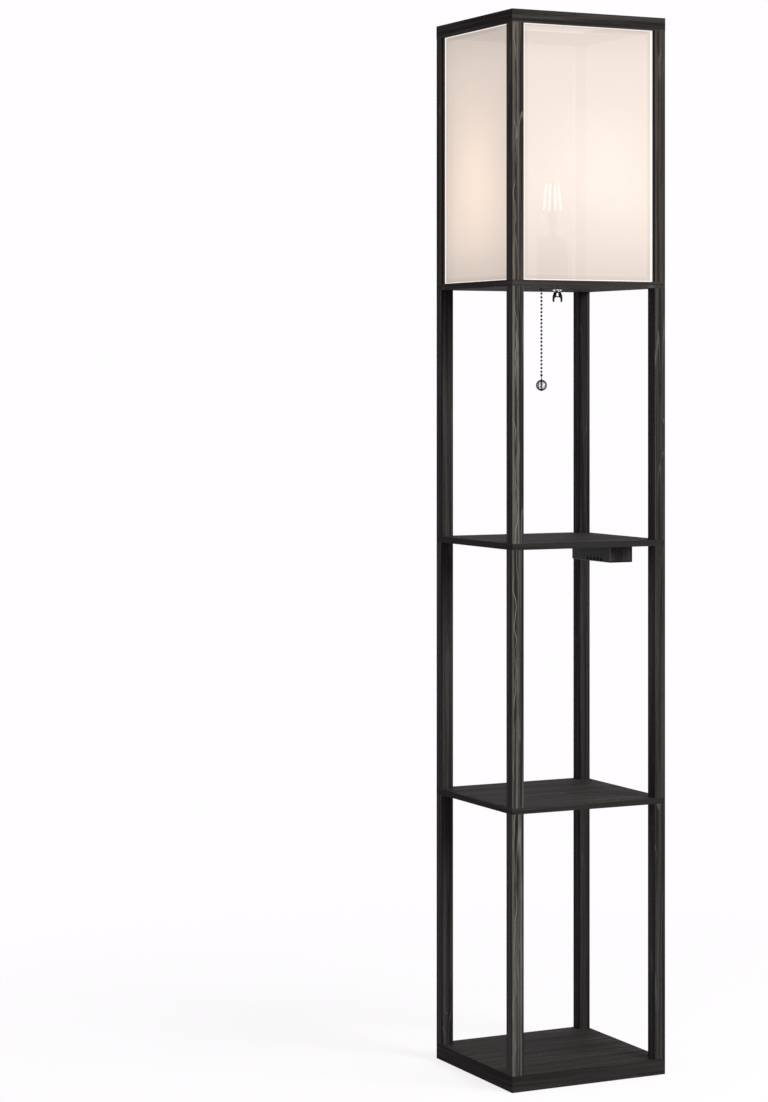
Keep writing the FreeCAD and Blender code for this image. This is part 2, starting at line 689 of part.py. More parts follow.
def make_holder_base():
    """The foot plate with the two cheeks of the switch and three pillars."""
    body = new_body("holder_base")
    plan = new_sketch(body, "XY_Plane", "plan")
    draw_ring(plan, 0, 0, size("plate_radius"), ROUND_SIDES)
    pad(body, plan, size("plate_thickness"), "plate")
    pin_x = lever_pin_x - holder_x
    end_x = pin_x + size("rotor_spacing")
    margin = size("pin_radius") + 1.8
    cheeks = new_sketch(body, "XY_Plane", "cheek_places", size("plate_thickness"))
    for side in (-1, 1):
        draw_outline(cheeks, [(pin_x - margin, side * cheek_reach - size("cheek_thickness") / 2),
                              (end_x + margin, side * cheek_reach - size("cheek_thickness") / 2),
                              (end_x + margin, side * cheek_reach + size("cheek_thickness") / 2),
                              (pin_x - margin, side * cheek_reach + size("cheek_thickness") / 2)])
    pin_height = lever_pin_z - lamp_board_top
    pad(body, cheeks, pin_height + margin - size("plate_thickness"), "cheeks")
    pillars = new_sketch(body, "XY_Plane", "pillar_places", size("plate_thickness"))
    for angle in (60, 180 - 52, 180 + 52, 300):
        across, along = math.cos(math.radians(angle)), math.sin(math.radians(angle))
        draw_ring(pillars, across * size("pillar_reach"), along * size("pillar_reach"),
                  size("pillar_radius"))
    pad(body, pillars, size("floor_height") - size("plate_thickness"), "pillars")
    way = new_sketch(body, "XY_Plane", "chain_hole_place")
    draw_ring(way, chain_x - holder_x, 0, chain_way - 0.3)
    pocket(body, way, size("plate_thickness"), "chain_hole", reverse=True)
    screws = new_sketch(body, "XY_Plane", "screw_hole_places")
    for side in (-1, 1):
        draw_ring(screws, 0, side * size("holder_screw_reach"),
                  size("small_screw_radius") + size("drill_clearance"))
    pocket(body, screws, size("plate_thickness"), "screw_holes", reverse=True)
    pins = new_sketch(body, "XZ_Plane", "pin_hole_places")
    for across in (pin_x, end_x):
        draw_circle(pins, across, pin_height, size("pin_radius") + 0.02)
    pocket(body, pins, 4 * cheek_reach, "pin_holes", midplane=True)
    place(body, holder_x, 0, lamp_board_top)


def make_holder_insulator():
    """A flange that stands on the pillars, with a sleeve round the screw shell."""
    body = new_body("holder_insulator")
    plan = new_sketch(body, "XY_Plane", "plan")
    draw_ring(plan, 0, 0, cup_bore - 0.3, ROUND_SIDES)
    pad(body, plan, size("floor_thickness"), "flange")
    sleeve = new_sketch(body, "XY_Plane", "sleeve_place", size("floor_thickness"))
    draw_ring(sleeve, 0, 0, size("sleeve_radius"), ROUND_SIDES)
    draw_ring(sleeve, 0, 0, size("sleeve_radius") - size("sleeve_wall"), ROUND_SIDES)
    pad(body, sleeve, size("sleeve_height"), "sleeve")
    notch = new_sketch(body, "XY_Plane", "chain_notch_place")
    draw_box(notch, chain_x - holder_x - size("bead_radius"), 0,
             2 * chain_way + 2 * size("bead_radius"), 2 * chain_way)
    pocket(body, notch, size("floor_thickness"), "chain_notch", reverse=True)
    place(body, holder_x, 0, flange_foot)


def make_screw_shell():
    """The brass shell that the bulb screws into: a beaded wall with a turned-in foot."""
    bore, tall = size("shell_radius"), size("shell_height")
    outside = bore + size("shell_wall")
    foot_bore = bore - 2.5
    thick = size("shell_wall")
    body = turned("screw_shell", [(foot_bore, 0), (outside, 0), (outside, tall - thick),
                                  (outside + thick, tall), (bore + thick, tall),
                                  (bore, tall - thick), (bore, thick), (foot_bore, thick)])
    place(body, holder_x, 0, flange_top)


def make_holder_contacts():
    """The centre contact, a sprung tongue, and the two leaves beside the rotor."""
    sheet_gauge = size("contact_thickness")
    tongue = new_body("holder_tongue")
    sub_parts.remove(tongue)
    # The tongue lies on the flange, rises and lies flat again under the bulb's tip.
    rise = size("cap_lift") - size("cap_cone") - size("tip_height") - 0.3 - sheet_gauge
    reach = size("tip_radius")
    side = new_sketch(tongue, "XZ_Plane", "side")
    draw_outline(side, [(-2 * reach, 0), (-reach, 0), (0 * reach, rise), (reach, rise),
                        (reach, rise + sheet_gauge), (-0.2 * reach, rise + sheet_gauge),
                        (-1.15 * reach, sheet_gauge), (-2 * reach, sheet_gauge)])
    pad(tongue, side, 1.2 * reach, "tongue", midplane=True)
    place(tongue, holder_x, 0, flange_top)
    leaves = []
    for name, direction in (("near", -1), ("far", 1)):
        y = direction * (size("rotor_width") / 2 + size("contact_gap") + sheet_gauge / 2)
        leaves.append(primitive_box(f"leaf_{name}", 1.8, sheet_gauge, lever_pin_z - plate_top,
                                    rotor_x + size("pin_radius") + 1.6, y, plate_top))
    joined_set("holder_contacts", [tongue] + leaves)


def make_pull_lever():
    """A sheet arm on a hub, with a slot at its tip for the chain and a finger for the rotor."""
    body = new_body("pull_lever")
    hub = new_sketch(body, "XZ_Plane", "hub_place")
    draw_circle(hub, 0, 0, size("hub_radius"))
    pad(body, hub, size("hub_length"), "hub", midplane=True)
    tip = size("lever_arm") + size("lever_overhang")
    half = size("lever_thickness") / 2
    arm = new_sketch(body, "XY_Plane", "arm_place", -half)
    narrow = size("lever_width") / 2
    draw_outline(arm, [(0, -narrow), (0, narrow), (1.2 - tip, narrow), (-tip, narrow - 1.2),
                       (-tip, 1.2 - narrow), (1.2 - tip, -narrow)])
    pad(body, arm, size("lever_thickness"), "arm")
    slot = new_sketch(body, "XY_Plane", "slot_place", half)
    draw_box(slot, -size("lever_arm"), 0, 2 * size("lever_overhang"), size("lever_slot_width"))
    pocket(body, slot, size("lever_thickness"), "slot", through=True)
    finger = new_sketch(body, "XY_Plane", "finger_place", -half)
    finger_tip = size("rotor_spacing") - size("rotor_radius") - 0.25
    draw_box(finger, finger_tip / 2, 0, finger_tip, size("rotor_width") - 1)
    pad(body, finger, size("lever_thickness"), "finger")
    bore = new_sketch(body, "XZ_Plane", "bore_place")
    draw_circle(bore, 0, 0, size("pin_radius") + size("pin_clearance"))
    pocket(body, bore, 2 * size("hub_length"), "bore", midplane=True)
    place(body, lever_pin_x, 0, lever_pin_z, Rotation(Vector(0, 1, 0), lever_tilt))


def make_switch_rotor():
    """A ratchet with four notches: the finger steps it on by a quarter turn."""
    body = new_body("switch_rotor")
    disc = new_sketch(body, "XZ_Plane", "disc_place")
    draw_circle(disc, 0, 0, size("rotor_radius"))
    pad(body, disc, size("rotor_width"), "disc", midplane=True)
    notch = new_sketch(body, "XZ_Plane", "notch_place")
    root, tip = size("rotor_root"), size("rotor_radius")
    draw_outline(notch, [(root, 0), (tip + 1, 0), (tip + 1, tip * 0.75), (tip * 0.72, tip * 0.75)])
    cut = pocket(body, notch, 2 * size("rotor_width"), "notch", midplane=True)
    pattern = body.newObject("PartDesign::PolarPattern", "switch_rotor_notches")
    pattern.Originals = [cut]
    pattern.Axis = (notch, ["N_Axis"])
    pattern.Angle = 360
    pattern.Occurrences = 4
    body.Tip = pattern
    doc.recompute()
    bore = new_sketch(body, "XZ_Plane", "bore_place")
    draw_circle(bore, 0, 0, size("pin_radius") + size("pin_clearance"))
    pocket(body, bore, 2 * size("rotor_width"), "bore", midplane=True)
    place(body, rotor_x, 0, lever_pin_z, Rotation(Vector(0, 1, 0), 45))


def make_switch_pins():
    length = size("cheek_gap") + 2 * size("cheek_thickness")
    lying = Rotation(Vector(1, 0, 0), 90)
    pins = [primitive_rod(f"switch_pin_{name}", size("pin_radius"), length, x, length / 2,
                          lever_pin_z, lying)
            for name, x in (("lever", lever_pin_x), ("rotor", rotor_x))]
    joined_set("switch_pins", pins)


def make_lever_spring():
    """The folded leaf spring under the lever's arm, which brings the chain back up."""
    body = new_body("lever_spring")
    reach, heel = size("spring_reach"), size("spring_heel")
    thick = size("spring_thickness")
    # Under the lever at rest: its slope is half the travel over the arm's length.
    slope = size("pull_travel") / 2 / size("lever_arm")
    rise = (lever_pin_z - plate_top + slope * reach - size("lever_thickness") / 2
            - size("spring_gap"))
    side = new_sketch(body, "XZ_Plane", "side")
    draw_outline(side, [(-reach - 2, 0), (-heel, 0), (-reach, rise),
                        (-reach - 0.7 * thick, rise - 0.7 * thick), (-heel - 2.4 * thick, thick),
                        (-reach - 2, thick)])
    pad(body, side, size("spring_width"), "leaf", midplane=True)
    place(body, lever_pin_x, 0, plate_top)


# ---- the bulb --------------------------------------------------------------------------

cap_foot = flange_top + size("cap_lift")
cap_top = cap_foot + size("cap_height")


def make_bulb_cap():
    """The screw cap, open at the foot, and the small contact at the tip."""
    radius, wall, tall = size("cap_radius"), size("cap_wall"), size("cap_height")
    shell = turned("bulb_cap_shell", [(radius - 1.2, 0), (radius, 1.2), (radius, tall),
                                      (radius - wall, tall), (radius - wall, 1.4), (radius - 1.8, 0)])
    place(shell, holder_x, 0, cap_foot)
    tip = turned("bulb_cap_tip", [(0, 0), (size("tip_radius") - 1.2, 0),
                                  (size("tip_radius"), size("tip_height")), (0, size("tip_height"))])
    place(tip, holder_x, 0, cap_foot - size("cap_cone") - size("tip_height"))
    for piece in (shell, tip):
        sub_parts.remove(piece)
    joined_set("bulb_cap", [shell, tip])


def make_bulb_insulator():
    """The dark glass cone between the cap and the contact."""
    cone = size("cap_cone")
    inner = size("cap_radius") - size("cap_wall")
    body = turned("bulb_insulator", [(0, 0), (size("tip_radius") + 1.6, 0), (inner - 1.5, cone),
                                     (inner - 0.15, cone + 1.5), (inner - 0.15, cone + 3),
                                     (0, cone + 3)])
    place(body, holder_x, 0, cap_foot - cone)


def make_bulb_glass():
    """The clear glass: crimped in the cap, with a straight neck and a round top."""
    neck, widest = size("neck_radius"), size("widest_radius")
    neck_start, neck_end = size("neck_start"), size("neck_end")
    widest_height, shoulder = size("widest_height"), size("shoulder_height")
    crimp = size("cap_radius") - size("cap_wall") - 0.15
    foot = cap_top - lamp_board_top - 3

    def outline(inset):
        points = [(crimp - inset, foot), (crimp - inset, foot + 4),
                  (neck - inset, neck_start), (neck - inset, neck_end),
                  (0.53 * neck + 0.47 * widest - inset, 0.62 * neck_end + 0.38 * widest_height),
                  (widest - inset, widest_height)]
        for step in range(5):
            angle = math.radians(90 * step / 5)
            points.append((math.cos(angle) * (widest - inset),
                           shoulder + math.sin(angle) * (size("glass_top") - inset - shoulder)))
        return points + [(0, size("glass_top") - inset)]

    body = turned("bulb_glass", outline(0) + outline(size("glass_wall"))[::-1])
    place(body, holder_x, 0, lamp_board_top)


def make_bulb_stem():
    """The glass stem: a flared tube crimped in the cap, a flat pinch and a thin rod."""
    radius, rod = size("stem_radius"), size("rod_radius")
    foot = cap_top - lamp_board_top - 3
    crimp = size("cap_radius") - size("cap_wall") - size("glass_wall") - 0.45
    top = size("stem_top")
    tube = turned("stem_tube", [(crimp - 0.9, foot), (crimp, foot), (crimp, foot + 2),
                                (radius, foot + 10), (radius, top), (rod, top + 2),
                                (0, top + 2), (0, top), (radius - 1, top - 1),
                                (radius - 1, foot + 10.4), (crimp - 0.9, foot + 2.4)])
    sub_parts.remove(tube)
    place(tube, holder_x, 0, lamp_board_top)
    pinch = primitive_box("stem_pinch", size("pinch_width"), size("pinch_thickness"),
                          size("pinch_height"), holder_x, 0, lamp_board_top + top)
    thin = primitive_bar("stem_rod", rod, size("filament_head") + 2 - top, holder_x, 0,
                         lamp_board_top + top)
    keep(fused("bulb_stem", [tube, pinch, thin]), "bulb_stem")


def filament_ends(index):
    """Both ends of a filament: they stand in a ring, closer together at the top."""
    angle = math.radians(number("filament_turn") + 90 * index)
    away = Vector(math.cos(angle), math.sin(angle), 0)
    middle = Vector(holder_x.number, 0, lamp_board_top.number)
    foot = middle + away * number("filament_foot_reach") + Vector(0, 0, number("filament_foot"))
    head = middle + away * number("filament_head_reach") + Vector(0, 0, number("filament_head"))
    return foot, head


def straight_bar(start, end, radius, sides):
    """A bar in flats from one point to another."""
    corners = [Vector(x.number, y.number, 0) for x, y in ring_corners(radius, sides)]
    section = Part.Face(Part.makePolygon(corners + corners[:1]))
    bar = section.extrude(Vector(0, 0, start.distanceToPoint(end)))
    bar.Placement = Placement(start, Rotation(Vector(0, 0, 1), end - start))
    return bar


def make_bulb_filaments():
    bars = [straight_bar(*filament_ends(index), number("filament_radius"), BAR_SIDES)
            for index in range(4)]
    thing = doc.addObject("Part::Feature", "bulb_filaments")
    thing.Shape = Part.makeCompound(bars)
    keep(thing, "bulb_filaments")


def make_filament_wires():
    """Bent leads from the pinch to the filaments' feet, and four arms from the rod's top."""
    wire = number("wire_radius")
    middle = Vector(holder_x.number, 0, lamp_board_top.number)
    pinch_top = number("stem_top") + number("pinch_height")
    arms = []
    for index in range(4):
        foot, head = filament_ends(index)
        out = Vector(foot.x - middle.x, foot.y, 0).normalize()
        side = 1 if out.x > 0 else -1
        start = middle + Vector(side * (number("pinch_width") / 2 - 1.5), out.y * 1.2,
                                pinch_top + 1.6 * wire)
        knee = Vector(foot.x, foot.y, foot.z - 1.2)
        lead = straight_bar(start, knee, wire, WIRE_SIDES)
        riser = straight_bar(knee, Vector(foot.x, foot.y, foot.z - 0.1), wire, WIRE_SIDES)
        arms.append(lead.fuse(riser))
    hub_height = number("filament_head") + 2.1
    hub = straight_bar(middle + Vector(0, 0, hub_height), middle + Vector(0, 0, hub_height + 0.8),
                       number("rod_radius"), BAR_SIDES)
    pieces = []
    for index in range(4):
        foot, head = filament_ends(index)
        over = Vector(head.x, head.y, middle.z + hub_height + 0.4)
        pieces.append(straight_bar(middle + Vector(0, 0, hub_height + 0.4), over, wire, WIRE_SIDES))
        pieces.append(straight_bar(over, Vector(head.x, head.y, head.z + 0.1), wire, WIRE_SIDES))
    crown = hub.fuse(pieces)
    thing = doc.addObject("Part::Feature", "filament_wires")
    thing.Shape = Part.makeCompound(arms + [crown])
    keep(thing, "filament_wires")


# ---- the bead pull chain ---------------------------------------------------------------


def bead_outline(middle):
    """Half the outline of a bead, upwards: a short barrel between two cones."""
    radius, wire = size("bead_radius"), size("link_radius")
    return [(wire, middle - radius), (radius, middle - 0.45 * radius),
            (radius, middle + 0.45 * radius), (wire, middle + radius)]


def bead_string(name, beads, top_z, link_end):
    """A string of beads on their wire, turned in one from its lowest bead up.

    link_end is the end whose link reaches to the bead that the string swings about. At the
    other end the wire stops with the bead."""
    wire = size("link_radius")
    lowest = -(bead_pitch * (beads - 1))
    link = bead_pitch - size("bead_radius") - size("bead_joint_gap")
    outline = []
    for index in range(beads):
        outline += bead_outline(lowest + index * bead_pitch)
    if link_end == "bottom":
        outline = [(wire, lowest - link)] + outline
    else:
        outline = outline + [(wire, link)]
    ends = [(0, outline[0][1])], [(0, outline[-1][1])]
    string = turned(name, ends[0] + outline + ends[1], BAR_SIDES)
    place(string, chain_x, chain_y, top_z)


def make_pull_chain():
    """Three bodies: the beads above the hole's mouth, the bead in it and the beads that hang."""
    upper, lower = int(round(number("upper_beads"))), int(round(number("lower_beads")))
    bead_string("chain_upper", upper, top_bead, "bottom")
    pivot_z = top_bead - bead_pitch * upper
    radius = size("bead_radius")
    pivot = turned("chain_pivot_bead", [(0, -radius)] + bead_outline(0) + [(0, radius)], BAR_SIDES)
    place(pivot, chain_x, chain_y, pivot_z)
    bead_string("chain_lower", lower, pivot_z - bead_pitch, "top")
    return pivot_z - bead_pitch * lower


def make_chain_bush():
    """A flanged bush in the lamp board, pushed in from below."""
    bore = size("bush_bore")
    outside = bore + size("bush_wall")
    flange = outside + size("bush_flange")
    thick = size("bush_flange_thickness")
    tall = shelf_thickness + thick
    mouth = 0.5
    body = turned("chain_bush", [(bore + mouth, 0), (flange - mouth, 0), (flange, mouth),
                                 (flange, thick), (outside, thick), (outside, tall),
                                 (bore, tall), (bore, mouth)], SMALL_SIDES)
    place(body, chain_x, chain_y, lamp_board_foot - thick)


def make_pull_ball(last_bead):
    """The clear ball with its bore, and the bell, pin and foot knob that hold it."""
    radius, core = size("ball_radius"), size("core_radius")
    middle = last_bead - size("ball_drop")
    bore = core + size("core_clearance")
    pole = math.sqrt(radius.number ** 2 - bore.number ** 2) / radius.number
    steps = [math.radians(22.5 * step) for step in range(-3, 4)]
    ball = turned("pull_ball", [(bore, -pole * radius)]
                  + [(math.cos(angle) * radius, math.sin(angle) * radius) for angle in steps]
                  + [(bore, pole * radius)], SMALL_SIDES)
    place(ball, chain_x, chain_y, middle)
    bead, wall, bell = size("bead_radius"), size("bell_wall"), size("bell_radius")
    drop = size("ball_drop")
    inside = bell - wall
    cavity_foot = -bead - 0.6
    # The bore's rims lie a little inside the ball's poles, and the pin's shoulders meet them.
    seat = 0.12
    body = turned("ball_connector", [
        (0, -drop - radius - 1.6), (core + 0.4, -drop - radius - 1.6), (core + 1, -drop - radius - 1),
        (core + 1, seat - drop - radius), (core, seat - drop - radius), (core, radius - seat - drop),
        (core + 0.7, radius - seat - drop), (bell, -4.2), (bell, bead - 0.7),
        (1.3, bead + 0.9), (0.65, bead + 0.9), (0.65, bead + 0.35), (inside, bead - 0.9),
        (inside, cavity_foot), (0, cavity_foot)], SMALL_SIDES)
    place(body, chain_x, chain_y, last_bead)


# ---- the cord clip ---------------------------------------------------------------------

clip_top = lamp_board_foot - size("stud_boss_height")


def make_cord_clip():
    """A claw with two springy legs, a window over its crossbar and an open mouth below."""
    wide, drop, leg = size("clip_width") / 2, size("clip_drop"), size("clip_leg")
    roof, bar_foot = size("clip_roof"), size("clip_bar_drop") + size("clip_bar")
    inside = wide - leg
    # The right half, from the top down the outside and up the inside.
    half = [(0.66 * wide, 0), (0.84 * wide, -0.22 * drop), (0.97 * wide, -0.42 * drop),
            (wide, -0.73 * drop), (0.97 * wide, -0.88 * drop), (inside + 0.5, -drop),
            (inside, -0.96 * drop), (inside, -0.7 * drop), (0.85 * inside, -bar_foot - 0.8),
            (0.6 * inside, -bar_foot)]
    body = new_body("cord_clip")
    side = new_sketch(body, "XZ_Plane", "side")
    draw_outline(side, half + [(-across, up) for across, up in half[::-1]])
    pad(body, side, size("clip_depth"), "claw", midplane=True)
    window = new_sketch(body, "XZ_Plane", "window_place")
    opening = size("clip_window") / 2
    draw_outline(window, [(-opening, -size("clip_bar_drop")), (opening, -size("clip_bar_drop")),
                          (opening - 0.3, -roof), (0.3 - opening, -roof)])
    pocket(body, window, 2 * size("clip_depth"), "window", midplane=True)
    hole = new_sketch(body, "XY_Plane", "pin_hole_place")
    draw_ring(hole, 0, 0, size("stud_pin_radius") + size("drill_clearance"))
    pocket(body, hole, roof + 0.5, "pin_hole")
    place(body, size("clip_x"), size("clip_y"), clip_top)


def make_clip_stud():
    """The bright stud: a flared boss under the board, a pin up into it and a riveted foot."""
    pin, boss = size("stud_pin_radius"), size("stud_boss_radius")
    tall, roof = size("stud_boss_height"), size("clip_roof")
    foot = -roof - 0.7
    body = turned("clip_stud", [(0, foot), (pin + 0.9, foot), (pin + 0.9, -roof), (pin, -roof),
                                (pin, 0), (0.45 * boss, 0), (0.6 * boss, 0.2 * tall),
                                (boss, 0.7 * tall), (boss, tall), (pin, tall),
                                (pin, tall + size("stud_pin_length")),
                                (0, tall + size("stud_pin_length"))], SMALL_SIDES)
    place(body, size("clip_x"), size("clip_y"), clip_top)


# ---- the charging box ------------------------------------------------------------------

box_outer = inner_reach
box_middle = box_outer - size("box_width") / 2
box_foot = upper_shelf_foot - size("box_height")
box_screw_reach = size("box_length") / 2 - 9
plate_seat = size("faceplate_thickness") + 0.4


def make_charger_casing():
    """A moulded shell, open where the faceplate sits, with vent notches and a cord hole."""
    body = new_body("charger_casing")
    wide, deep, tall = size("box_width"), size("box_length"), size("box_height")
    wall = size("box_wall")
    plan = new_sketch(body, "XY_Plane", "plan")
    draw_box(plan, 0, 0, wide, deep)
    block = pad(body, plan, tall, "block")
    corner = size("box_corner")
    rounded = round_edges(body, block, corner,
                          lambda edge: is_upright(edge) and edge.CenterOfMass.x < 0)
    break_edges(body, rounded, 1.0,
                lambda edge: edge.BoundBox.ZMax < 1e-6 and not (
                    edge.BoundBox.XMin > number("box_width") / 2 - 1e-6), "lower_break")
    hollow = new_sketch(body, "YZ_Plane", "hollow_place", wide / 2)
    draw_box(hollow, 0, tall / 2, deep - 2 * wall, tall - 2 * wall)
    pocket(body, hollow, wide - wall, "hollow")
    seat = new_sketch(body, "YZ_Plane", "seat_place", wide / 2)
    draw_box(seat, 0, tall / 2, deep - wall, tall - wall)
    pocket(body, seat, plate_seat, "seat")
    vents = new_sketch(body, "YZ_Plane", "vent_place", -wide / 2)
    draw_box(vents, size("vent_start"), size("vent_height") / 2 + wall / 2,
             size("vent_width"), size("vent_height"))
    first = pocket(body, vents, 2 * wall, "vent", reverse=True)
    row_of_vents = body.newObject("PartDesign::LinearPattern", "charger_casing_vents")
    row_of_vents.Originals = [first]
    row_of_vents.Direction = (vents, ["H_Axis"])
    bind(row_of_vents, "Length", size("vent_spacing") * 4)
    row_of_vents.Occurrences = 5
    body.Tip = row_of_vents
    doc.recompute()
    cord = new_sketch(body, "XZ_Plane", "cord_hole_place", -deep / 2)
    draw_ring(cord, -wide / 4, tall / 2, size("cord_hole_radius"), SMALL_SIDES)
    pocket(body, cord, 2 * wall, "cord_hole", reverse=True)
    screws = new_sketch(body, "XY_Plane", "screw_hole_places", tall)
    for side in (-1, 1):
        draw_ring(screws, 0, side * box_screw_reach,
                  size("small_screw_radius") + size("drill_clearance"))
    pocket(body, screws, 2 * wall, "screw_holes")
    place(body, box_middle, 0, box_foot)


def make_charger_faceplate():
    """The plate with two outlets and two charging ports, lying along the box."""
    body = new_body("charger_faceplate")
    slack = 2 * size("faceplate_clearance")
    wall = size("box_wall")
    face = new_sketch(body, "YZ_Plane", "face")
    draw_box(face, 0, 0, size("box_length") - wall - slack, size("box_height") - wall - slack)
    plate = pad(body, face, size("faceplate_thickness"), "plate", reverse=True)
    break_edges(body, plate, 0.5, lambda edge: edge.BoundBox.XMin > -1e-6)
    slots = new_sketch(body, "YZ_Plane", "slot_places")
    for outlet in range(2):
        across = size("outlet_first") + outlet * size("outlet_spacing")
        for side in (-1, 1):
            draw_box(slots, across, side * size("blade_gap") / 2, size("blade_slot_length"),
                     size("blade_slot_width"))
        draw_ring(slots, across + size("earth_reach"), 0, size("earth_radius"), SMALL_SIDES)
    for port in range(2):
        draw_box(slots, size("port_first") + port * size("port_spacing"), 0,
                 size("port_width") + 0.4, size("port_height") + 0.4)
    pocket(body, slots, 2 * size("faceplate_thickness"), "slots")
    place(body, box_outer - 0.4, 0, box_foot + size("box_height") / 2)


def make_outlet_contacts():
    """A folded spring contact behind each slot and each earth hole."""
    pieces = []
    behind = box_outer - 0.4 - size("faceplate_thickness") - 0.3
    long = as_size(11)
    for outlet in range(2):
        middle_y = size("outlet_first") + outlet * size("outlet_spacing")
        places = [("neutral", middle_y, size("blade_gap") / 2),
                  ("live", middle_y, -size("blade_gap") / 2),
                  ("earth", middle_y + size("earth_reach"), as_size(0))]
        for name, y, lift in places:
            tall = size("blade_slot_width") + 1.6
            deep = size("blade_slot_length") - 1 if name != "earth" else 2 * size("earth_radius")
            foot = box_foot + size("box_height") / 2 + lift - tall / 2
            block = primitive_box(f"contact_block_{name}_{outlet}", long, deep, tall,
                                  behind - long / 2, y, foot)
            gap = primitive_box(f"contact_gap_{name}_{outlet}", long, deep + 2, tall - 1.2,
                                behind - long / 2 + 0.6, y, foot + 0.6)
            fold = doc.addObject("Part::Cut", f"contact_{name}_{outlet}")
            fold.Base = block
            fold.Tool = gap
            pieces.append(fold)
    joined_set("outlet_contacts", pieces)


def make_charging_ports():
    """Two metal shells with the tongue that carries their contacts."""
    wide, tall, deep = size("port_width"), size("port_height"), size("port_depth")
    wall = size("port_wall")
    front = box_outer - 0.5
    pieces = []
    for port in range(2):
        y = size("port_first") + port * size("port_spacing")
        foot = box_foot + size("box_height") / 2 - tall / 2
        block = primitive_box(f"port_block_{port}", deep, wide, tall, front - deep / 2, y, foot)
        room = primitive_box(f"port_room_{port}", deep, wide - 2 * wall, tall - 2 * wall,
                             front - deep / 2 + wall, y, foot + wall)
        shell = doc.addObject("Part::Cut", f"port_shell_{port}")
        shell.Base = block
        shell.Tool = room
        pieces.append(shell)
        pieces.append(primitive_box(f"port_tongue_{port}", deep - wall - 1, wide - 2.6, 1.8,
                                    front - 1 - (deep - wall - 1) / 2, y, foot + tall - wall - 2.1))
    joined_set("charging_ports", pieces)


def make_charger_circuit():
    """The circuit board on the casing's inner wall, with its transformer and two capacitors."""
    wall = size("box_wall")
    back = box_outer - size("box_width") + wall
    board = primitive_box("circuit_board", size("circuit_thickness"), size("box_length") * 0.62,
                          size("box_height") - 2 * wall - 1.2,
                          back + size("circuit_thickness") / 2, size("box_length") * 0.14,
                          box_foot + wall + 0.6)
    face = back + size("circuit_thickness")
    transformer = primitive_box("transformer", 14, 18, 16, face + 7, 38, box_foot + wall + 4)
    lying = Rotation(Vector(0, 1, 0), 90)
    cans = [primitive_bar(f"capacitor_{name}", 4, 12, face, y, box_foot + size("box_height") / 2,
                          lying) for name, y in (("one", 4), ("two", 16))]
    joined_set("charger_circuit", [board, transformer] + cans)


def make_fixing_screws():
    """Round-head screws: two hold the lamp holder down, two hold the charging box up."""
    radius, head = size("small_screw_radius"), size("small_head_radius")
    head_tall, bite = size("small_head_height"), size("small_screw_bite")
    screws = []
    for side in (-1, 1):
        y = side * size("holder_screw_reach")
        top = primitive_bar(f"holder_screw_head_{side + 1}", head, head_tall, holder_x, y, plate_top)
        shank = primitive_bar(f"holder_screw_shank_{side + 1}", radius,
                              bite + size("plate_thickness"), holder_x, y, lamp_board_top - bite)
        screws.append(fused(f"holder_screw_{side + 1}", [top, shank]))
    for side in (-1, 1):
        y = side * box_screw_reach
        ceiling = upper_shelf_foot - size("box_wall")
        top = primitive_bar(f"box_screw_head_{side + 1}", head, head_tall, box_middle, y,
                            ceiling - head_tall)
        shank = primitive_bar(f"box_screw_shank_{side + 1}", radius, bite + size("box_wall"),
                              box_middle, y, ceiling)
        screws.append(fused(f"box_screw_{side + 1}", [top, shank]))
    joined_set("fixing_screws", screws)


# ---- building --------------------------------------------------------------------------

make_base_board()
for tier, foot, length, grooved in TIERS:
    for corner in CORNERS:
        make_post(tier, corner, foot, length, grooved)
make_board("lower_shelf", lower_shelf_foot, shelf_thickness)
make_upper_shelf()
make_lamp_board()
for side, degrees in SIDES:
    make_top_rail(side, degrees)
    make_shade_panel(side, degrees)
make_tower_fasteners()
make_holder_cup()
make_holder_base()
make_holder_insulator()
make_screw_shell()
make_holder_contacts()
make_pull_lever()
make_switch_rotor()
make_switch_pins()
make_lever_spring()
make_bulb_cap()
make_bulb_insulator()
make_bulb_glass()
make_bulb_stem()
make_bulb_filaments()
make_filament_wires()
last_bead = make_pull_chain()
make_chain_bush()
make_pull_ball(last_bead)
make_cord_clip()
make_clip_stud()
make_charger_casing()
make_charger_faceplate()
make_outlet_contacts()
make_charging_ports()
make_charger_circuit()
make_fixing_screws()
doc.recompute()

# ---- checking and writing --------------------------------------------------------------

for thing in doc.Objects:
    if "Invalid" in thing.State or "Error" in thing.State:
        raise RuntimeError(f"{thing.Label} failed: {thing.State}")
for piece in sub_parts:
    if piece.Shape.isNull() or not piece.Shape.isValid() or not piece.Shape.Solids:
        raise RuntimeError(f"{piece.Label} has no valid solid")

os.makedirs("parts", exist_ok=True)
for piece in sub_parts:
    piece.Shape.exportStep(f"parts/{piece.Label}.step")
box = Part.makeCompound([piece.Shape for piece in sub_parts]).BoundBox
print(f"{len(sub_parts)} sub-parts, {box.XLength:.1f} x {box.YLength:.1f} x {box.ZLength:.1f} mm")
print(f"lever tilt at rest {lever_tilt:.3f} degrees")
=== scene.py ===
import math

import bmesh
import bpy
from mathutils import Matrix, Vector


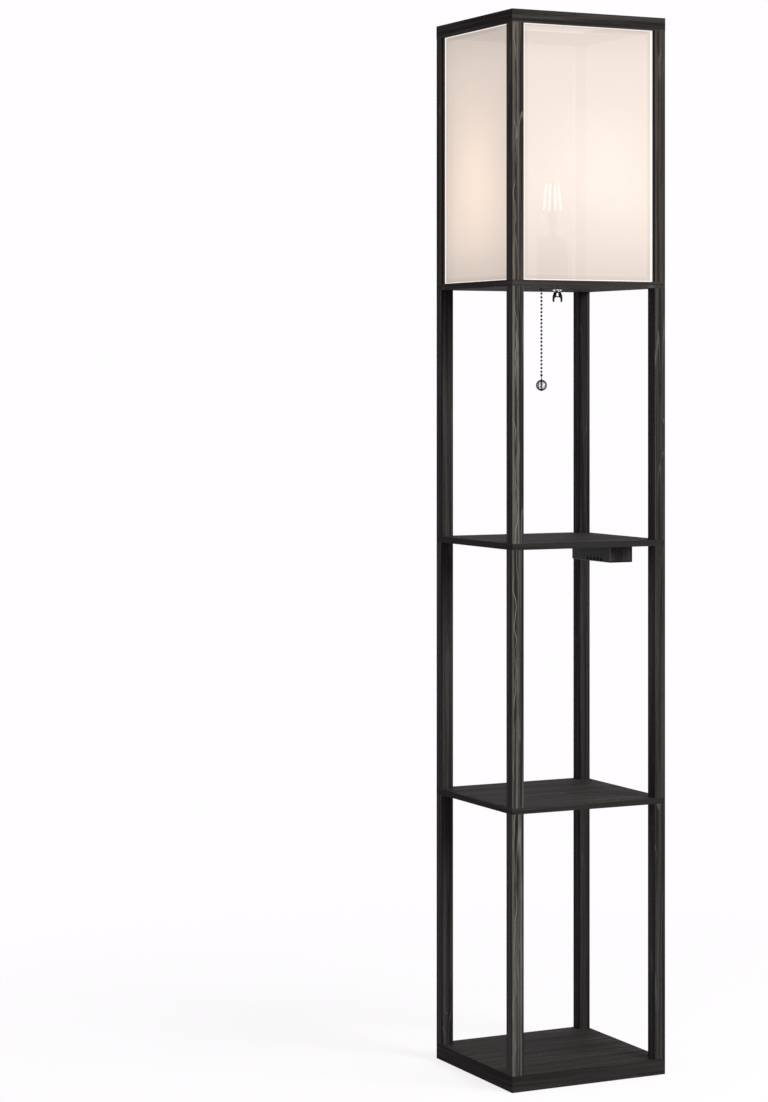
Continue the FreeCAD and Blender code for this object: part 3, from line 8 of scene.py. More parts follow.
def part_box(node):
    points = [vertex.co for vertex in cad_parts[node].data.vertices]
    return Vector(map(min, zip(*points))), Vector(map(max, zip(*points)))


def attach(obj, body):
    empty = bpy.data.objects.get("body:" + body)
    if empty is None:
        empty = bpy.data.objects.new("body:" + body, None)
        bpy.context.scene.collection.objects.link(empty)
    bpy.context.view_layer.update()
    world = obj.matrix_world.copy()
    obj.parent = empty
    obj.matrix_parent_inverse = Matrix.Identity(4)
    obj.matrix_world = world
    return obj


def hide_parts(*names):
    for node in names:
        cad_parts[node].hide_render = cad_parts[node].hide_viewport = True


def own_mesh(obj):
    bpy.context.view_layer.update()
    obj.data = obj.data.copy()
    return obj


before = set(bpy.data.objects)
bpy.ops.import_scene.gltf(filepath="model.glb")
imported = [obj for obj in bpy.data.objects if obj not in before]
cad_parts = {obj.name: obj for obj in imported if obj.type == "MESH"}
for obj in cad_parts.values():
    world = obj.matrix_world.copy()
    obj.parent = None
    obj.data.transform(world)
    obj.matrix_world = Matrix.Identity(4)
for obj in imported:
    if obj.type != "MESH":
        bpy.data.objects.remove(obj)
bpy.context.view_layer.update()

# Shelf floor lamp. Metres, +Z up, the front is -Y and the left side is -X.
# The wood, the panels and most of the inner works are the frame's own pieces with new
# finishes. The holder, the bulb, the chain, the ball, the clip and the charging box are
# modelled again, with round shapes and soft edges.


def newObject(name, data):
    made = bpy.data.objects.new(name, data)
    bpy.context.scene.collection.objects.link(made)
    return made


def turnTowards(thing, heading):  # a camera or a light looks along its own -Z
    thing.rotation_euler = Vector(heading).to_track_quat("-Z", "Y").to_euler()


cameraLook = {
    "place": (-2.130, -4.077, 1.0536),
    "heading": (0.4703, 0.8825, 0.0),
    "lens": 98.0,
    "sensor": 36,
    "shift": (-0.1725, -0.1563),
    "sight": 50,
}


def addCamera(look):
    data = bpy.data.cameras.new("camera")
    data.lens = look["lens"]
    data.sensor_width = look["sensor"]
    data.shift_x, data.shift_y = look["shift"]
    data.clip_end = look["sight"]
    camera = newObject("camera", data)
    camera.location = look["place"]
    turnTowards(camera, look["heading"])
    bpy.context.scene.camera = camera


addCamera(cameraLook)
print("stage: camera")


# helpers that write a material's nodes

def newMaterial(name, **sockets):  # Base_Color=(r, g, b) sets the shader's socket "Base Color"
    material = bpy.data.materials.new(name)
    material.use_nodes = True
    for socket, value in sockets.items():
        value = (*value, 1) if isinstance(value, tuple) else value
        shaderOf(material).inputs[socket.replace("_", " ")].default_value = value
    return material


def shaderOf(material):
    return material.node_tree.nodes["Principled BSDF"]


def addNode(owner, kind, **settings):  # owner is a material or the world
    node = owner.node_tree.nodes.new("ShaderNode" + kind)
    for key, value in settings.items():
        setattr(node, key, value)
    return node


def feed(owner, value, socket):  # a number, a colour or another node's socket into a socket
    if isinstance(value, (int, float)):
        socket.default_value = value
    elif isinstance(value, tuple):
        socket.default_value = (*value, 1) if socket.type == "RGBA" else value
    else:
        owner.node_tree.links.new(value, socket)


def calc(owner, operation, *values):
    node = addNode(owner, "Math", operation=operation)
    for value, socket in zip(values, node.inputs):
        feed(owner, value, socket)
    return node.outputs[0]


def product(owner, first, *others):
    for value in others:
        first = calc(owner, "MULTIPLY", first, value)
    return first


def remap(owner, value, low, high, newLow, newHigh):
    node = addNode(owner, "MapRange")
    for number, socket in zip((value, low, high, newLow, newHigh), node.inputs):
        feed(owner, number, socket)
    return node.outputs["Result"]


mixSockets = {  # a mix node's numbers for its factor, its two values and its result
    "RGBA": (0, 6, 7, 2),
    "VECTOR": (0, 4, 5, 1),
}


def blend(owner, factor, first, second, kind="RGBA"):
    node = addNode(owner, "Mix", data_type=kind)
    *places, result = mixSockets[kind]
    for value, place in zip((factor, first, second), places):
        feed(owner, value, node.inputs[place])
    return node.outputs[result]


def ramp(owner, factor, *stops):  # each stop is (position, colour)
    node = addNode(owner, "ValToRGB")
    elements = node.color_ramp.elements
    while len(elements) < len(stops):
        elements.new(0.5)
    for element, (position, color) in zip(elements, stops):
        element.position = position
        element.color = (*color, 1)
    feed(owner, factor, node.inputs["Fac"])
    return node.outputs["Color"]


def objectPlace(owner):
    return addNode(owner, "TexCoord").outputs["Object"]


def splitAxes(owner, vector):
    node = addNode(owner, "SeparateXYZ")
    feed(owner, vector, node.inputs[0])
    return node.outputs


def joinAxes(owner, *axes):
    node = addNode(owner, "CombineXYZ")
    for axis, socket in zip(axes, node.inputs):
        feed(owner, axis, socket)
    return node.outputs[0]


def stretched(owner, vector, scale, shift=(0, 0, 0)):
    node = addNode(owner, "Mapping")
    feed(owner, vector, node.inputs["Vector"])
    node.inputs["Scale"].default_value = scale
    node.inputs["Location"].default_value = shift
    return node.outputs["Vector"]


def noise(owner, vector, scale, detail, roughness=0.5, distortion=0.0):
    node = addNode(owner, "TexNoise")
    feed(owner, vector, node.inputs["Vector"])
    for key, value in (("Scale", scale), ("Detail", detail), ("Roughness", roughness),
                       ("Distortion", distortion)):
        node.inputs[key].default_value = value
    return node.outputs["Fac"]


def facing(owner, axis):  # one where the surface looks along this axis, either way
    normal = splitAxes(owner, addNode(owner, "TexCoord").outputs["Normal"])
    return calc(owner, "GREATER_THAN", calc(owner, "ABSOLUTE", normal[axis]), 0.7)


def nearLine(owner, axis, lines):  # distance of |axis| to the nearest of some planes
    away = calc(owner, "ABSOLUTE", axis)
    gaps = [calc(owner, "ABSOLUTE", calc(owner, "SUBTRACT", away, line)) for line in lines]
    return gaps[0] if len(gaps) == 1 else calc(owner, "MINIMUM", *gaps)


def finish(material, color=None, roughness=None, height=None, depth=0.0):
    shader = shaderOf(material)
    if color is not None:
        feed(material, color, shader.inputs["Base Color"])
    if roughness is not None:
        feed(material, roughness, shader.inputs["Roughness"])
    if height is not None:
        bump = addNode(material, "Bump")
        bump.inputs["Distance"].default_value = depth
        feed(material, height, bump.inputs["Height"])
        feed(material, bump.outputs["Normal"], shader.inputs["Normal"])
    return material


def coat(node, material):  # a frame piece keeps its mesh and gets the finish through its slots
    for slot in bpy.data.objects[node].material_slots:
        slot.material = material


# helpers that model pieces

mergeDistance = 1e-6
flatAngle = 0.01  # facets that meet at less than this (radians) become one face
sharpAngle = 35  # degrees from which a copy's edges are rounded
smoothAngle = 40  # degrees up to which an edge is shaded smooth


def meshObject(name, shape, material):
    mesh = bpy.data.meshes.new(name)
    shape.to_mesh(mesh)
    shape.free()
    mesh.materials.append(material)
    return newObject(name, mesh)


def addPiece(name, shape, material, body, nodes=(), smooth=smoothAngle):
    for face in shape.faces:
        face.smooth = True
    for edge in shape.edges:
        edge.smooth = not edge.is_manifold or edge.calc_face_angle(0) < math.radians(smooth)
    piece = meshObject(name, shape, material)
    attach(piece, body)
    if nodes:
        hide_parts(*nodes)
    return piece


def closeSpin(shape, axis, steps):  # turns the shape's line right round an upright axis
    bmesh.ops.spin(shape, geom=shape.verts[:] + shape.edges[:], cent=(*axis, 0),
                   axis=(0, 0, 1), angle=math.tau, steps=steps, use_merge=True)
    bmesh.ops.remove_doubles(shape, verts=shape.verts, dist=mergeDistance)
    bmesh.ops.recalc_face_normals(shape, faces=shape.faces)


def lathe(outline, axis, steps):  # an outline of (radius, height) turned round an axis
    shape = bmesh.new()
    spots = [shape.verts.new((axis[0] + radius, axis[1], height)) for radius, height in outline]
    for pair in zip(spots, spots[1:]):
        shape.edges.new(pair)
    closeSpin(shape, axis, steps)
    return shape


def raised(outline, height):  # the same outline, with its heights counted from another one
    return [(radius, height + rise) for radius, rise in outline]


def rod(shape, start, end, radius, sides):  # a capped rod from one point to another
    start, end = Vector(start), Vector(end)
    turn = (end - start).to_track_quat("Z", "Y").to_matrix().to_4x4()
    place = Matrix.Translation((start + end) / 2) @ turn
    bmesh.ops.create_cone(shape, cap_ends=True, segments=sides, radius1=radius, radius2=radius,
                          depth=(end - start).length, matrix=place)


def softCopy(node, body, material, bevel=0, segments=2, longest=0.0):
    # a copy of a frame piece, merged, with its sharp edges (or only the long ones) rounded
    shape = bmesh.new()
    shape.from_mesh(bpy.data.objects[node].data)
    bmesh.ops.remove_doubles(shape, verts=shape.verts, dist=mergeDistance)
    bmesh.ops.dissolve_limit(shape, angle_limit=flatAngle, verts=shape.verts, edges=shape.edges)
    edges = [edge for edge in shape.edges
             if edge.is_manifold and edge.calc_length() > longest
             and edge.calc_face_angle(0) > math.radians(sharpAngle)]
    if bevel:
        bmesh.ops.bevel(shape, geom=edges, offset=bevel, segments=segments, profile=0.5,
                        affect="EDGES", clamp_overlap=True, material=-1)
    return addPiece(node + "_soft", shape, material, body, [node])


studio = {
    "lightTop": 0.50,  # world light from above and from below
    "lightBelow": 0.10,
    "backdrop": (1.0, 0.982, 1.0),
    "keyPower": 170,
    "keyPlace": (1.7, -3.4, 2.4),
    "fillPower": 4,
    "fillPlace": (-3.2, -0.8, 1.9),
    "lampSize": 2.2,
    "lampAim": (0, 0, 0.9),
    "floorColor": (0.22, 0.22, 0.22),
    "floorRoughness": 0.9,
    "floorGlow": 0.82,
    "floorFull": 0.45,  # radius to which the floor is whole, and where it has faded out
    "floorEnd": 1.5,
    "floorSides": 64,
    "floorDrop": 0.0003,  # just under the base
}


def seenRays(owner):  # one for a ray from the camera, a mirror or glass
    path = addNode(owner, "LightPath").outputs
    seen = calc(owner, "MAXIMUM", path["Is Camera Ray"], path["Is Glossy Ray"])
    return calc(owner, "MAXIMUM", seen, path["Is Transmission Ray"])


def addWorld(look):
    world = bpy.data.worlds.new("studio")
    bpy.context.scene.world = world
    world.use_nodes = True
    light = world.node_tree.nodes["Background"]
    up = splitAxes(world, addNode(world, "TexCoord").outputs["Generated"])[2]
    light.inputs["Color"].default_value = (1, 1, 1, 1)
    feed(world, remap(world, up, -1, 1, look["lightBelow"], look["lightTop"]),
         light.inputs["Strength"])
    backdrop = addNode(world, "Background")
    feed(world, look["backdrop"], backdrop.inputs["Color"])
    mix = addNode(world, "MixShader")
    for value, socket in zip((seenRays(world), light.outputs[0], backdrop.outputs[0]), mix.inputs):
        feed(world, value, socket)
    feed(world, mix.outputs[0], world.node_tree.nodes["World Output"].inputs["Surface"])


def addSoftLight(name, power, place, look):
    data = bpy.data.lights.new(name, "AREA")
    data.energy = power
    data.size = look["lampSize"]
    light = newObject(name, data)
    light.location = place
    turnTowards(light, Vector(look["lampAim"]) - Vector(place))


def addFloor(look):
    material = newMaterial("floorPaint", Base_Color=look["floorColor"],
                           Roughness=look["floorRoughness"], Specular_IOR_Level=0.0,
                           Emission_Color=look["backdrop"])
    shader = shaderOf(material)
    feed(material, product(material, seenRays(material), look["floorGlow"]),
         shader.inputs["Emission Strength"])
    away = addNode(material, "VectorMath", operation="LENGTH")
    feed(material, objectPlace(material), away.inputs[0])
    distance = away.outputs["Value"]
    feed(material, remap(material, distance, look["floorFull"], look["floorEnd"], 1, 0),
         shader.inputs["Alpha"])
    shape = bmesh.new()
    bmesh.ops.create_circle(shape, cap_ends=True, segments=look["floorSides"],
                            radius=look["floorEnd"])
    bmesh.ops.translate(shape, vec=(0, 0, -look["floorDrop"]), verts=shape.verts)
    meshObject("floor", shape, material)


addWorld(studio)
addSoftLight("keyLight", studio["keyPower"], studio["keyPlace"], studio)
addSoftLight("fillLight", studio["fillPower"], studio["fillPlace"], studio)
addFloor(studio)
bpy.context.scene.view_settings.view_transform = "Standard"
print("stage: light and floor")

plainWood = {
    "pore": (0.0060, 0.0056, 0.0052),
    "dark": (0.0172, 0.0150, 0.0144),
    "middle": (0.0325, 0.0290, 0.0280),
    "light": (0.0530, 0.0480, 0.0462),
    "vein": (0.1100, 0.1050, 0.0960),
    "rim": (0.0020, 0.0018, 0.0017),  # darker along the posts' upright edges
}
figuredWood = {
    "pore": (0.0080, 0.0076, 0.0068),
    "dark": (0.0195, 0.0180, 0.0165),
    "middle": (0.0570, 0.0520, 0.0478),
    "light": (0.1380, 0.1290, 0.1160),
    "vein": (0.2300, 0.2220, 0.2050),
}
beech = {
    "pore": (0.22, 0.12, 0.05),
    "dark": (0.34, 0.20, 0.10),
    "middle": (0.46, 0.30, 0.16),
    "light": (0.58, 0.41, 0.24),
    "vein": (0.64, 0.48, 0.30),
}
woodFinish = {
    "postSide": 0.0195,
    "postShine": 0.07,
    "boardShine": 0.03,
    "roughness": (0.78, 0.64),
    "relief": 0.00010,
    "figureScale": (2.6, 42, 42),  # how fine each pattern is along the grain, then across it
    "streakScale": (2.6, 250, 250),
    "bandScale": (1.5, 90, 90),
    "fineScale": (14, 1100, 1100),
    "gritScale": (60, 2600, 2600),
    "patchScale": (5, 22, 22),
    "wander": 0.008,  # how far the figure pushes the grain aside
    "streakShare": 0.62,
    "bandShare": 0.24,
    "fineShare": 0.14,
    "toneStops": (0.425, 0.495, 0.58),
    "rings": 52,
    "ringEdge": (0.90, 0.995),
    "veinPatch": (0.50, 0.60),
    "veinShare": 0.75,
    "poreEdge": (0.32, 0.40),
    "poreShare": 0.8,
    "poreRelief": -0.8,
    "toneSpread": (0.4, 0.6),
    "rim": (0.00084, 0.0021),  # width at which the dark rim is full, and gone
    "rimShare": 0.9,
    "rub": (0.0024, 0.0040),  # the rubbed corner of the near posts' front faces
    "rubShare": 0.75,
    "rubBreaks": (0.35, 0.6),
    "rubLeast": 0.3,
    "strandPlace": (0.0012, 0.0085),  # thin wavy strands, from the near posts' outer edge
    "strandWidth": (0.0003, 0.0009),
    "strandShare": 0.8,
    "strandWaves": 24,
    "waveSpread": (0.32, 0.68),
    "strandBreaks": 11,
    "breakEdge": (0.44, 0.54),
    "insidePaint": (0.62, 0.59, 0.55),  # the head's posts are pale behind the panels
    "insideDepth": 0.0062,
}
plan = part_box("base_board")[1].x  # half the side of the lamp's square plan
postInner = plan - woodFinish["postSide"]


def shaded(look, share, tint=(1, 1, 1)):
    return {part: tuple(share * value * hue for value, hue in zip(color, tint))
            for part, color in look.items()}


def calmed(look, share):  # every tone drawn towards the middle one
    middle = look["middle"]
    return {part: tuple(value + share * (mean - value) for value, mean in zip(color, middle))
            for part, color in look.items()}


def grainAxes(material, grain):
    # object place with the grain along its first axis; a board's end faces are edged along Y
    x, y, z = splitAxes(material, objectPlace(material))
    if grain == "z":
        return joinAxes(material, z, x, y)
    if grain == "y":
        return joinAxes(material, y, x, z)
    if grain == "x":
        return joinAxes(material, x, y, z)
    return blend(material, facing(material, 0), joinAxes(material, x, y, z),
                 joinAxes(material, y, x, z), "VECTOR")


def grainNoise(material, place, scale, shift, detail=2, roughness=0.5, distortion=0.0):
    return noise(material, stretched(material, place, woodFinish[scale], shift), 1, detail,
                 roughness, distortion)


def grainPattern(material, along, shift):
    # the grain in greys: its tone, veins and pores, its finest lines and its relief
    finishing = woodFinish
    figure = grainNoise(material, along, "figureScale", shift, distortion=0.5)
    bend = addNode(material, "VectorMath", operation="MULTIPLY_ADD")
    feed(material, figure, bend.inputs[0])
    bend.inputs[1].default_value = (0, finishing["wander"], finishing["wander"])
    feed(material, along, bend.inputs[2])
    wavy = bend.outputs[0]
    streak = grainNoise(material, wavy, "streakScale", shift)
    band = grainNoise(material, wavy, "bandScale", shift, detail=1)
    fine = grainNoise(material, wavy, "fineScale", shift, detail=3, roughness=0.6)
    grit = grainNoise(material, wavy, "gritScale", shift)
    patch = grainNoise(material, along, "patchScale", shift)
    tone = calc(material, "MULTIPLY_ADD", streak, finishing["streakShare"],
                product(material, band, finishing["bandShare"]))
    tone = calc(material, "MULTIPLY_ADD", fine, finishing["fineShare"], tone)
    rings = calc(material, "SINE", product(material, figure, finishing["rings"]))
    pore = remap(material, grit, *finishing["poreEdge"], finishing["poreShare"], 0)
    return {
        "tone": tone,
        "vein": product(material, remap(material, rings, *finishing["ringEdge"], 0, 1),
                        remap(material, patch, *finishing["veinPatch"], 0, finishing["veinShare"])),
        "pore": pore,
        "fine": fine,
        "relief": calc(material, "MULTIPLY_ADD", pore, finishing["poreRelief"],
                       calc(material, "ADD", streak, fine)),
    }


def woodTone(material, pattern, look):
    stops = zip(woodFinish["toneStops"], (look["dark"], look["middle"], look["light"]))
    tone = ramp(material, pattern["tone"], *stops)
    tone = blend(material, pattern["vein"], tone, look["vein"])
    return blend(material, pattern["pore"], tone, look["pore"])


def figuredFront(material, tone, pattern, along, shift, look):
    # the near posts' front faces: a stronger figure, a rubbed corner and thin pale strands
    x = splitAxes(material, objectPlace(material))[0]
    onFront = facing(material, 1)
    tone = blend(material, onFront, tone, woodTone(material, pattern, look))
    finishing = woodFinish
    rub = product(material,
                  remap(material, nearLine(material, x, (plan,)), *finishing["rub"],
                        finishing["rubShare"], 0),
                  remap(material, pattern["fine"], *finishing["rubBreaks"],
                        finishing["rubLeast"], 1), onFront)
    tone = blend(material, rub, tone, look["light"])
    sway = noise(material, stretched(material, along, (finishing["strandWaves"], 0, 0), shift),
                 1, 1)
    line = calc(material, "SUBTRACT", calc(material, "ADD", x, plan),
                remap(material, sway, *finishing["waveSpread"], *finishing["strandPlace"]))
    kept = noise(material, stretched(material, along, (finishing["strandBreaks"], 0, 0),
                                     (shift[0] + 5, 3, 1)), 1, 1)
    strand = product(material,
                     remap(material, calc(material, "ABSOLUTE", line),
                           *finishing["strandWidth"], finishing["strandShare"], 0),
                     remap(material, kept, *finishing["breakEdge"], 0, 1), onFront)
    return blend(material, strand, tone, look["vein"])


def woodMaterial(name, grain, shift, look=plainWood, frontLook=None, edgeLines=(),
                 paleInside=False):
    shine = woodFinish["postShine" if grain == "z" else "boardShine"]
    material = newMaterial(name, Specular_IOR_Level=shine)
    along = grainAxes(material, grain)
    pattern = grainPattern(material, along, shift)
    tone = woodTone(material, pattern, look)
    x, y, z = splitAxes(material, objectPlace(material))
    if frontLook:
        tone = figuredFront(material, tone, pattern, along, shift, frontLook)
    if edgeLines:
        far = calc(material, "MAXIMUM", nearLine(material, x, edgeLines),
                   nearLine(material, y, edgeLines))
        rim = remap(material, far, *woodFinish["rim"], woodFinish["rimShare"], 0)
        tone = blend(material, rim, tone, look["rim"])
    if paleInside:
        out = calc(material, "MAXIMUM", calc(material, "ABSOLUTE", x),
                   calc(material, "ABSOLUTE", y))
        inside = calc(material, "LESS_THAN", out, plan - woodFinish["insideDepth"])
        tone = blend(material, inside, tone, woodFinish["insidePaint"])
    roughness = remap(material, pattern["tone"], *woodFinish["toneSpread"],
                      *woodFinish["roughness"])
    return finish(material, tone, roughness, pattern["relief"], woodFinish["relief"])


# painted shade: each corner's post is darkened by this share, the back right one most; the left
# ones darken their shaded left faces
cornerShades = {"front_left": 0.86, "front_right": 1.0, "back_left": 0.92, "back_right": 0.62}
tierCuts = {"low": 4, "mid": 1, "high": 2, "head": 6}  # where in the timber each tier was cut
frontTones = {"low": 0.93, "mid": 1.0, "high": 1.0, "head": 0.78}
lampTint = (1.02, 0.95, 0.89)  # the head's posts stand in the lamp's warm light
# painted light and shade: the lamp board's wood is lighter, as lit by the lamp, the other boards
# darker, the upper shelf most
boardLightShares = {"base_board": 0.95, "lower_shelf": 0.92, "upper_shelf": 0.82, "lamp_board": 1.32}
boardCalm = 0.5
railGrains = {"front": "x", "back": "x", "left": "y", "right": "y"}


def coatPost(tier, corner, turn):  # each piece takes its grain from a spot of its own
    cut = tierCuts[tier]
    tint = lampTint if tier == "head" else (1, 1, 1)
    near = corner == "front_left"
    front = shaded(figuredWood, frontTones[tier], tint) if near else None
    wood = woodMaterial(f"postWood_{tier}_{corner}", "z",
                        (1.7 * cut + 0.31 * turn, 0.7 * cut, 0.4 * turn),
                        look=shaded(plainWood, cornerShades[corner], tint), frontLook=front,
                        edgeLines=(postInner,) if near else (plan, postInner),
                        paleInside=tier == "head")
    coat(f"{tier}_post_{corner}", wood)


for tier in tierCuts:
    for turn, corner in enumerate(cornerShades):
        coatPost(tier, corner, turn)
for index, (board, share) in enumerate(boardLightShares.items()):
    coat(board, woodMaterial(f"boardWood_{board}", "board", (0.9 * index, 2.3 + index, 0.5),
                             look=calmed(shaded(plainWood, share), boardCalm)))
for index, (side, grain) in enumerate(railGrains.items()):
    coat(f"top_rail_{side}",
         woodMaterial(f"railWood_{side}", grain, (0.6 * index, 4.1 + index, 1.2)))
coat("top_dowels", woodMaterial("dowelWood", "z", (3, 1, 2), beech))
print("stage: wood")

frostedPanel = {
    "face": (0.30, 0.265, 0.245),
    "fibreTone": 0.94,
    "fibreScale": 240,
    "fibreGlow": (0.98, 1.02),  # how unevenly the fibres, and their clouds, pass the light
    "cloudScale": 9,
    "cloudGlow": (0.94, 1.06),
    "shine": 0.2,
    "roughness": (0.5, 0.62),
    "relief": 0.00002,
    "clear": 0.27,  # share of each face that is looked through
    "glowReach": 0.080,
    "glowHeight": 1.345,
    "endFade": 0.055,  # painted shade: the sheet's glow is dimmer towards its top and its foot
    "endShare": 0.12,
    "endTuck": 0.0022,  # the ends' folds are hidden this deep in their grooves
    "fold": 0.0040,  # width of the painted bright line at the folded edge
    "foldBlur": 0.0006,
    "foldShare": 0.80,
    "foldGlowColor": (1.0, 0.96, 0.92),
    "seam": 0.0120,  # from the edge to the thin seam, a painted bright line, with a band of painted shade up to it
    "seamWidth": (0.0004, 0.0012),
    "seamShare": 0.07,
    "bandShare": 0.13,
}
frontGlow = {
    "far": (0.480, 0.411, 0.370),  # painted light that comes through far from the bulb
    "near": (0.190, 0.180, 0.152),  # what the bulb's painted glow adds at the brightest spot
    "across": 0.012,
    "aside": 0.46,  # how fast the glow fades sideways, up and down
    "up": 0.58,
    "down": 1.10,
}
sideGlow = {
    "far": (0.452, 0.408, 0.382),
    "near": (0.365, 0.262, 0.180),
    "across": 0.004,
    "aside": 0.75,
    "up": 0.58,
    "down": 0.70,
}


def bulbGlow(material, sideways, z, light, look):  # one at the brightest spot, fading to nought
    aside = calc(material, "SUBTRACT", sideways, light["across"])
    aside = product(material, aside, light["aside"])
    above = calc(material, "SUBTRACT", z, look["glowHeight"])
    above = calc(material, "MAXIMUM", product(material, above, -light["down"]),
                 product(material, above, light["up"]))
    reach = calc(material, "ADD", product(material, aside, aside),
                 product(material, above, above))
    reach = calc(material, "DIVIDE", reach, look["glowReach"] ** 2)
    return calc(material, "DIVIDE", 1, calc(material, "ADD", reach, 1))


def panelMaterial(name, across, light, look):
    # a thin frosted sheet whose light from the bulb behind is painted as its glow: a painted bright
    # folded edge, then a band of painted shade and a thin painted bright seam
    material = newMaterial(name, Specular_IOR_Level=look["shine"])
    place = objectPlace(material)
    x, y, z = splitAxes(material, place)
    sideways = x if across == "x" else y
    fibre = noise(material, stretched(material, place, (1, 1, 0.5)), look["fibreScale"], 5,
                  0.7, 0.8)
    cloud = noise(material, place, look["cloudScale"], 2)
    near = product(material, bulbGlow(material, sideways, z, light, look),
                   remap(material, fibre, 0.2, 0.8, *look["fibreGlow"]),
                   remap(material, cloud, 0.3, 0.7, *look["cloudGlow"]))
    brightest = tuple(far + add for far, add in zip(light["far"], light["near"]))
    glow = blend(material, near, light["far"], brightest)

    low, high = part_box("lamp_board")[1].z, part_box("top_rail_front")[0].z
    sideGap = calc(material, "SUBTRACT", postInner, calc(material, "ABSOLUTE", sideways))
    endGap = calc(material, "MINIMUM", calc(material, "SUBTRACT", z, low),
                  calc(material, "SUBTRACT", high, z))
    gap = calc(material, "MINIMUM", sideGap, calc(material, "ADD", endGap, look["endTuck"]))
    end = remap(material, endGap, 0, look["endFade"], look["endShare"], 0)
    band = remap(material, gap, look["fold"], look["seam"], 1, 0)
    seam = remap(material, nearLine(material, gap, (look["seam"],)), *look["seamWidth"], 1, 0)
    fold = remap(material, gap, look["fold"] - look["foldBlur"], look["fold"], 1, 0)
    # painted shade at the ends and in the band, painted bright lines at the seam and the fold
    for share, color in ((end, (0.0, 0.0, 0.0)),
                         (product(material, band, look["bandShare"]), (0.0, 0.0, 0.0)),
                         (product(material, seam, look["seamShare"]), look["foldGlowColor"]),
                         (product(material, fold, look["foldShare"]), look["foldGlowColor"])):
        glow = blend(material, share, glow, color)

    shader = shaderOf(material)
    feed(material, glow, shader.inputs["Emission Color"])
    shader.inputs["Emission Strength"].default_value = 1.0
    shader.inputs["Alpha"].default_value = 1 - look["clear"]
    weave = tuple(part * look["fibreTone"] for part in look["face"])
    return finish(material, blend(material, fibre, look["face"], weave),
                  remap(material, fibre, 0.3, 0.7, *look["roughness"]), fibre, look["relief"])


for across, light, sides in (("x", frontGlow, ("front", "back")),
                             ("y", sideGlow, ("left", "right"))):
    sheet = panelMaterial("frostedSheet_" + across, across, light, frostedPanel)
    for side in sides:
        coat(f"shade_panel_{side}", sheet)
print("stage: panels")

plasticLooks = {
    "blackBrass": {"color": (0.002, 0.0018, 0.0017), "roughness": 0.40, "grainScale": 1800,
                   "depth": 0.000004, "shine": 0.07},
    "mattBlack": {"color": (0.0260, 0.0225, 0.0228), "roughness": 0.42, "shine": 0.08},
    "glossBlack": {"color": (0.002, 0.002, 0.002), "roughness": 0.16, "grainScale": 900,
                   "depth": 0.000005, "shine": 0.13},
    "holderWhite": {"color": (0.20, 0.19, 0.185), "roughness": 0.42},
    "brownResin": {"color": (0.20, 0.095, 0.045), "roughness": 0.36, "grainScale": 1500},
    "ceramic": {"color": (0.74, 0.71, 0.65), "roughness": 0.62, "grainScale": 700,
                "depth": 0.00004},
    "darkGlass": {"color": (0.010, 0.010, 0.013), "roughness": 0.08, "grainScale": 300,
                  "depth": 0.000005},
    "boardGreen": {"color": (0.020, 0.13, 0.05), "roughness": 0.32, "grainScale": 900},
    "stemGlass": {"color": (0.36, 0.17, 0.11), "roughness": 0.30},  # pinched, amber at the seal
}
metalLooks = {
    "zincSteel": {"color": (0.56, 0.57, 0.58), "roughness": 0.30},
    "chrome": {"color": (0.86, 0.87, 0.88), "roughness": 0.08, "drawn": (1200, 1200, 90),
               "depth": 0.000003},
    "stampedBrass": {"color": (0.72, 0.52, 0.22), "roughness": 0.28},
    "capNickel": {"color": (0.70, 0.69, 0.66), "roughness": 0.24},
    "leadWire": {"color": (0.42, 0.41, 0.39), "roughness": 0.35, "drawn": (1500, 1500, 300)},
}
glassLooks = {
    "bulbGlass": {"color": (0.99, 0.99, 0.985), "index": 1.46, "smear": 0.01},
    "ballAcrylic": {"color": (0.97, 0.975, 0.98), "index": 1.49, "smear": 0.015},
}
ballRimShade = {
    "shine": 0.12,
    "stops": ((0.02, (0.76, 0.76, 0.77)), (0.20, (0.50, 0.50, 0.51)),
              (0.29, (0.001, 0.001, 0.001))),  # painted shade: clear in the middle and black at the rim, by the angle the glass is seen at
}
plasticTexture = {
    "cloudScale": 45,
    "dark": 0.85,  # shares of the colour in its darkest and lightest places
    "light": 1.2,
    "bloom": 0.003,
    "spread": (0.35, 0.65),
    "polish": (-0.05, 0.08),  # how far the roughness strays
}
metalTexture = {
    "cloudScale": 160,
    "dark": 0.78,
    "light": 1.12,
    "lineShare": 0.4,
    "spread": (0.35, 0.65),
    "stains": (0.3, 0.7),
    "polish": (-0.05, 0.09),
    "smoothest": 0.03,
}
glassTexture = {
    "cloudScale": 60,
    "distortion": 0.4,
    "spread": (0.45, 0.75),
}
plainPieces = {
    "zincSteel": ("joining_studs", "base_screws", "fixing_screws", "pull_lever", "switch_pins",
                  "charging_ports"),
    "brownResin": ("holder_base", "switch_rotor"),
    "stampedBrass": ("holder_contacts", "outlet_contacts"),
    "leadWire": ("filament_wires",),
    "boardGreen": ("charger_circuit",),
    "capNickel": ("bulb_cap",),
}


def plasticMaterial(name, color, roughness, grainScale=2600, depth=0.00002, shine=0.4):
    # moulded plastic with a fine spark-eroded texture and slight clouds
    look = plasticTexture
    material = newMaterial(name, Specular_IOR_Level=shine)
    place = objectPlace(material)
    grain = noise(material, place, grainScale, 2)
    cloud = noise(material, place, look["cloudScale"], 4)
    dark = tuple(part * look["dark"] for part in color)
    light = tuple(min(1, part * look["light"] + look["bloom"]) for part in color)
    mixed = calc(material, "MULTIPLY_ADD", grain, 0.5, product(material, cloud, 0.5))
    polish = [roughness + stray for stray in look["polish"]]
    return finish(material, ramp(material, cloud, *zip(look["spread"], (dark, light))),
                  remap(material, mixed, *look["spread"], *polish), grain, depth)


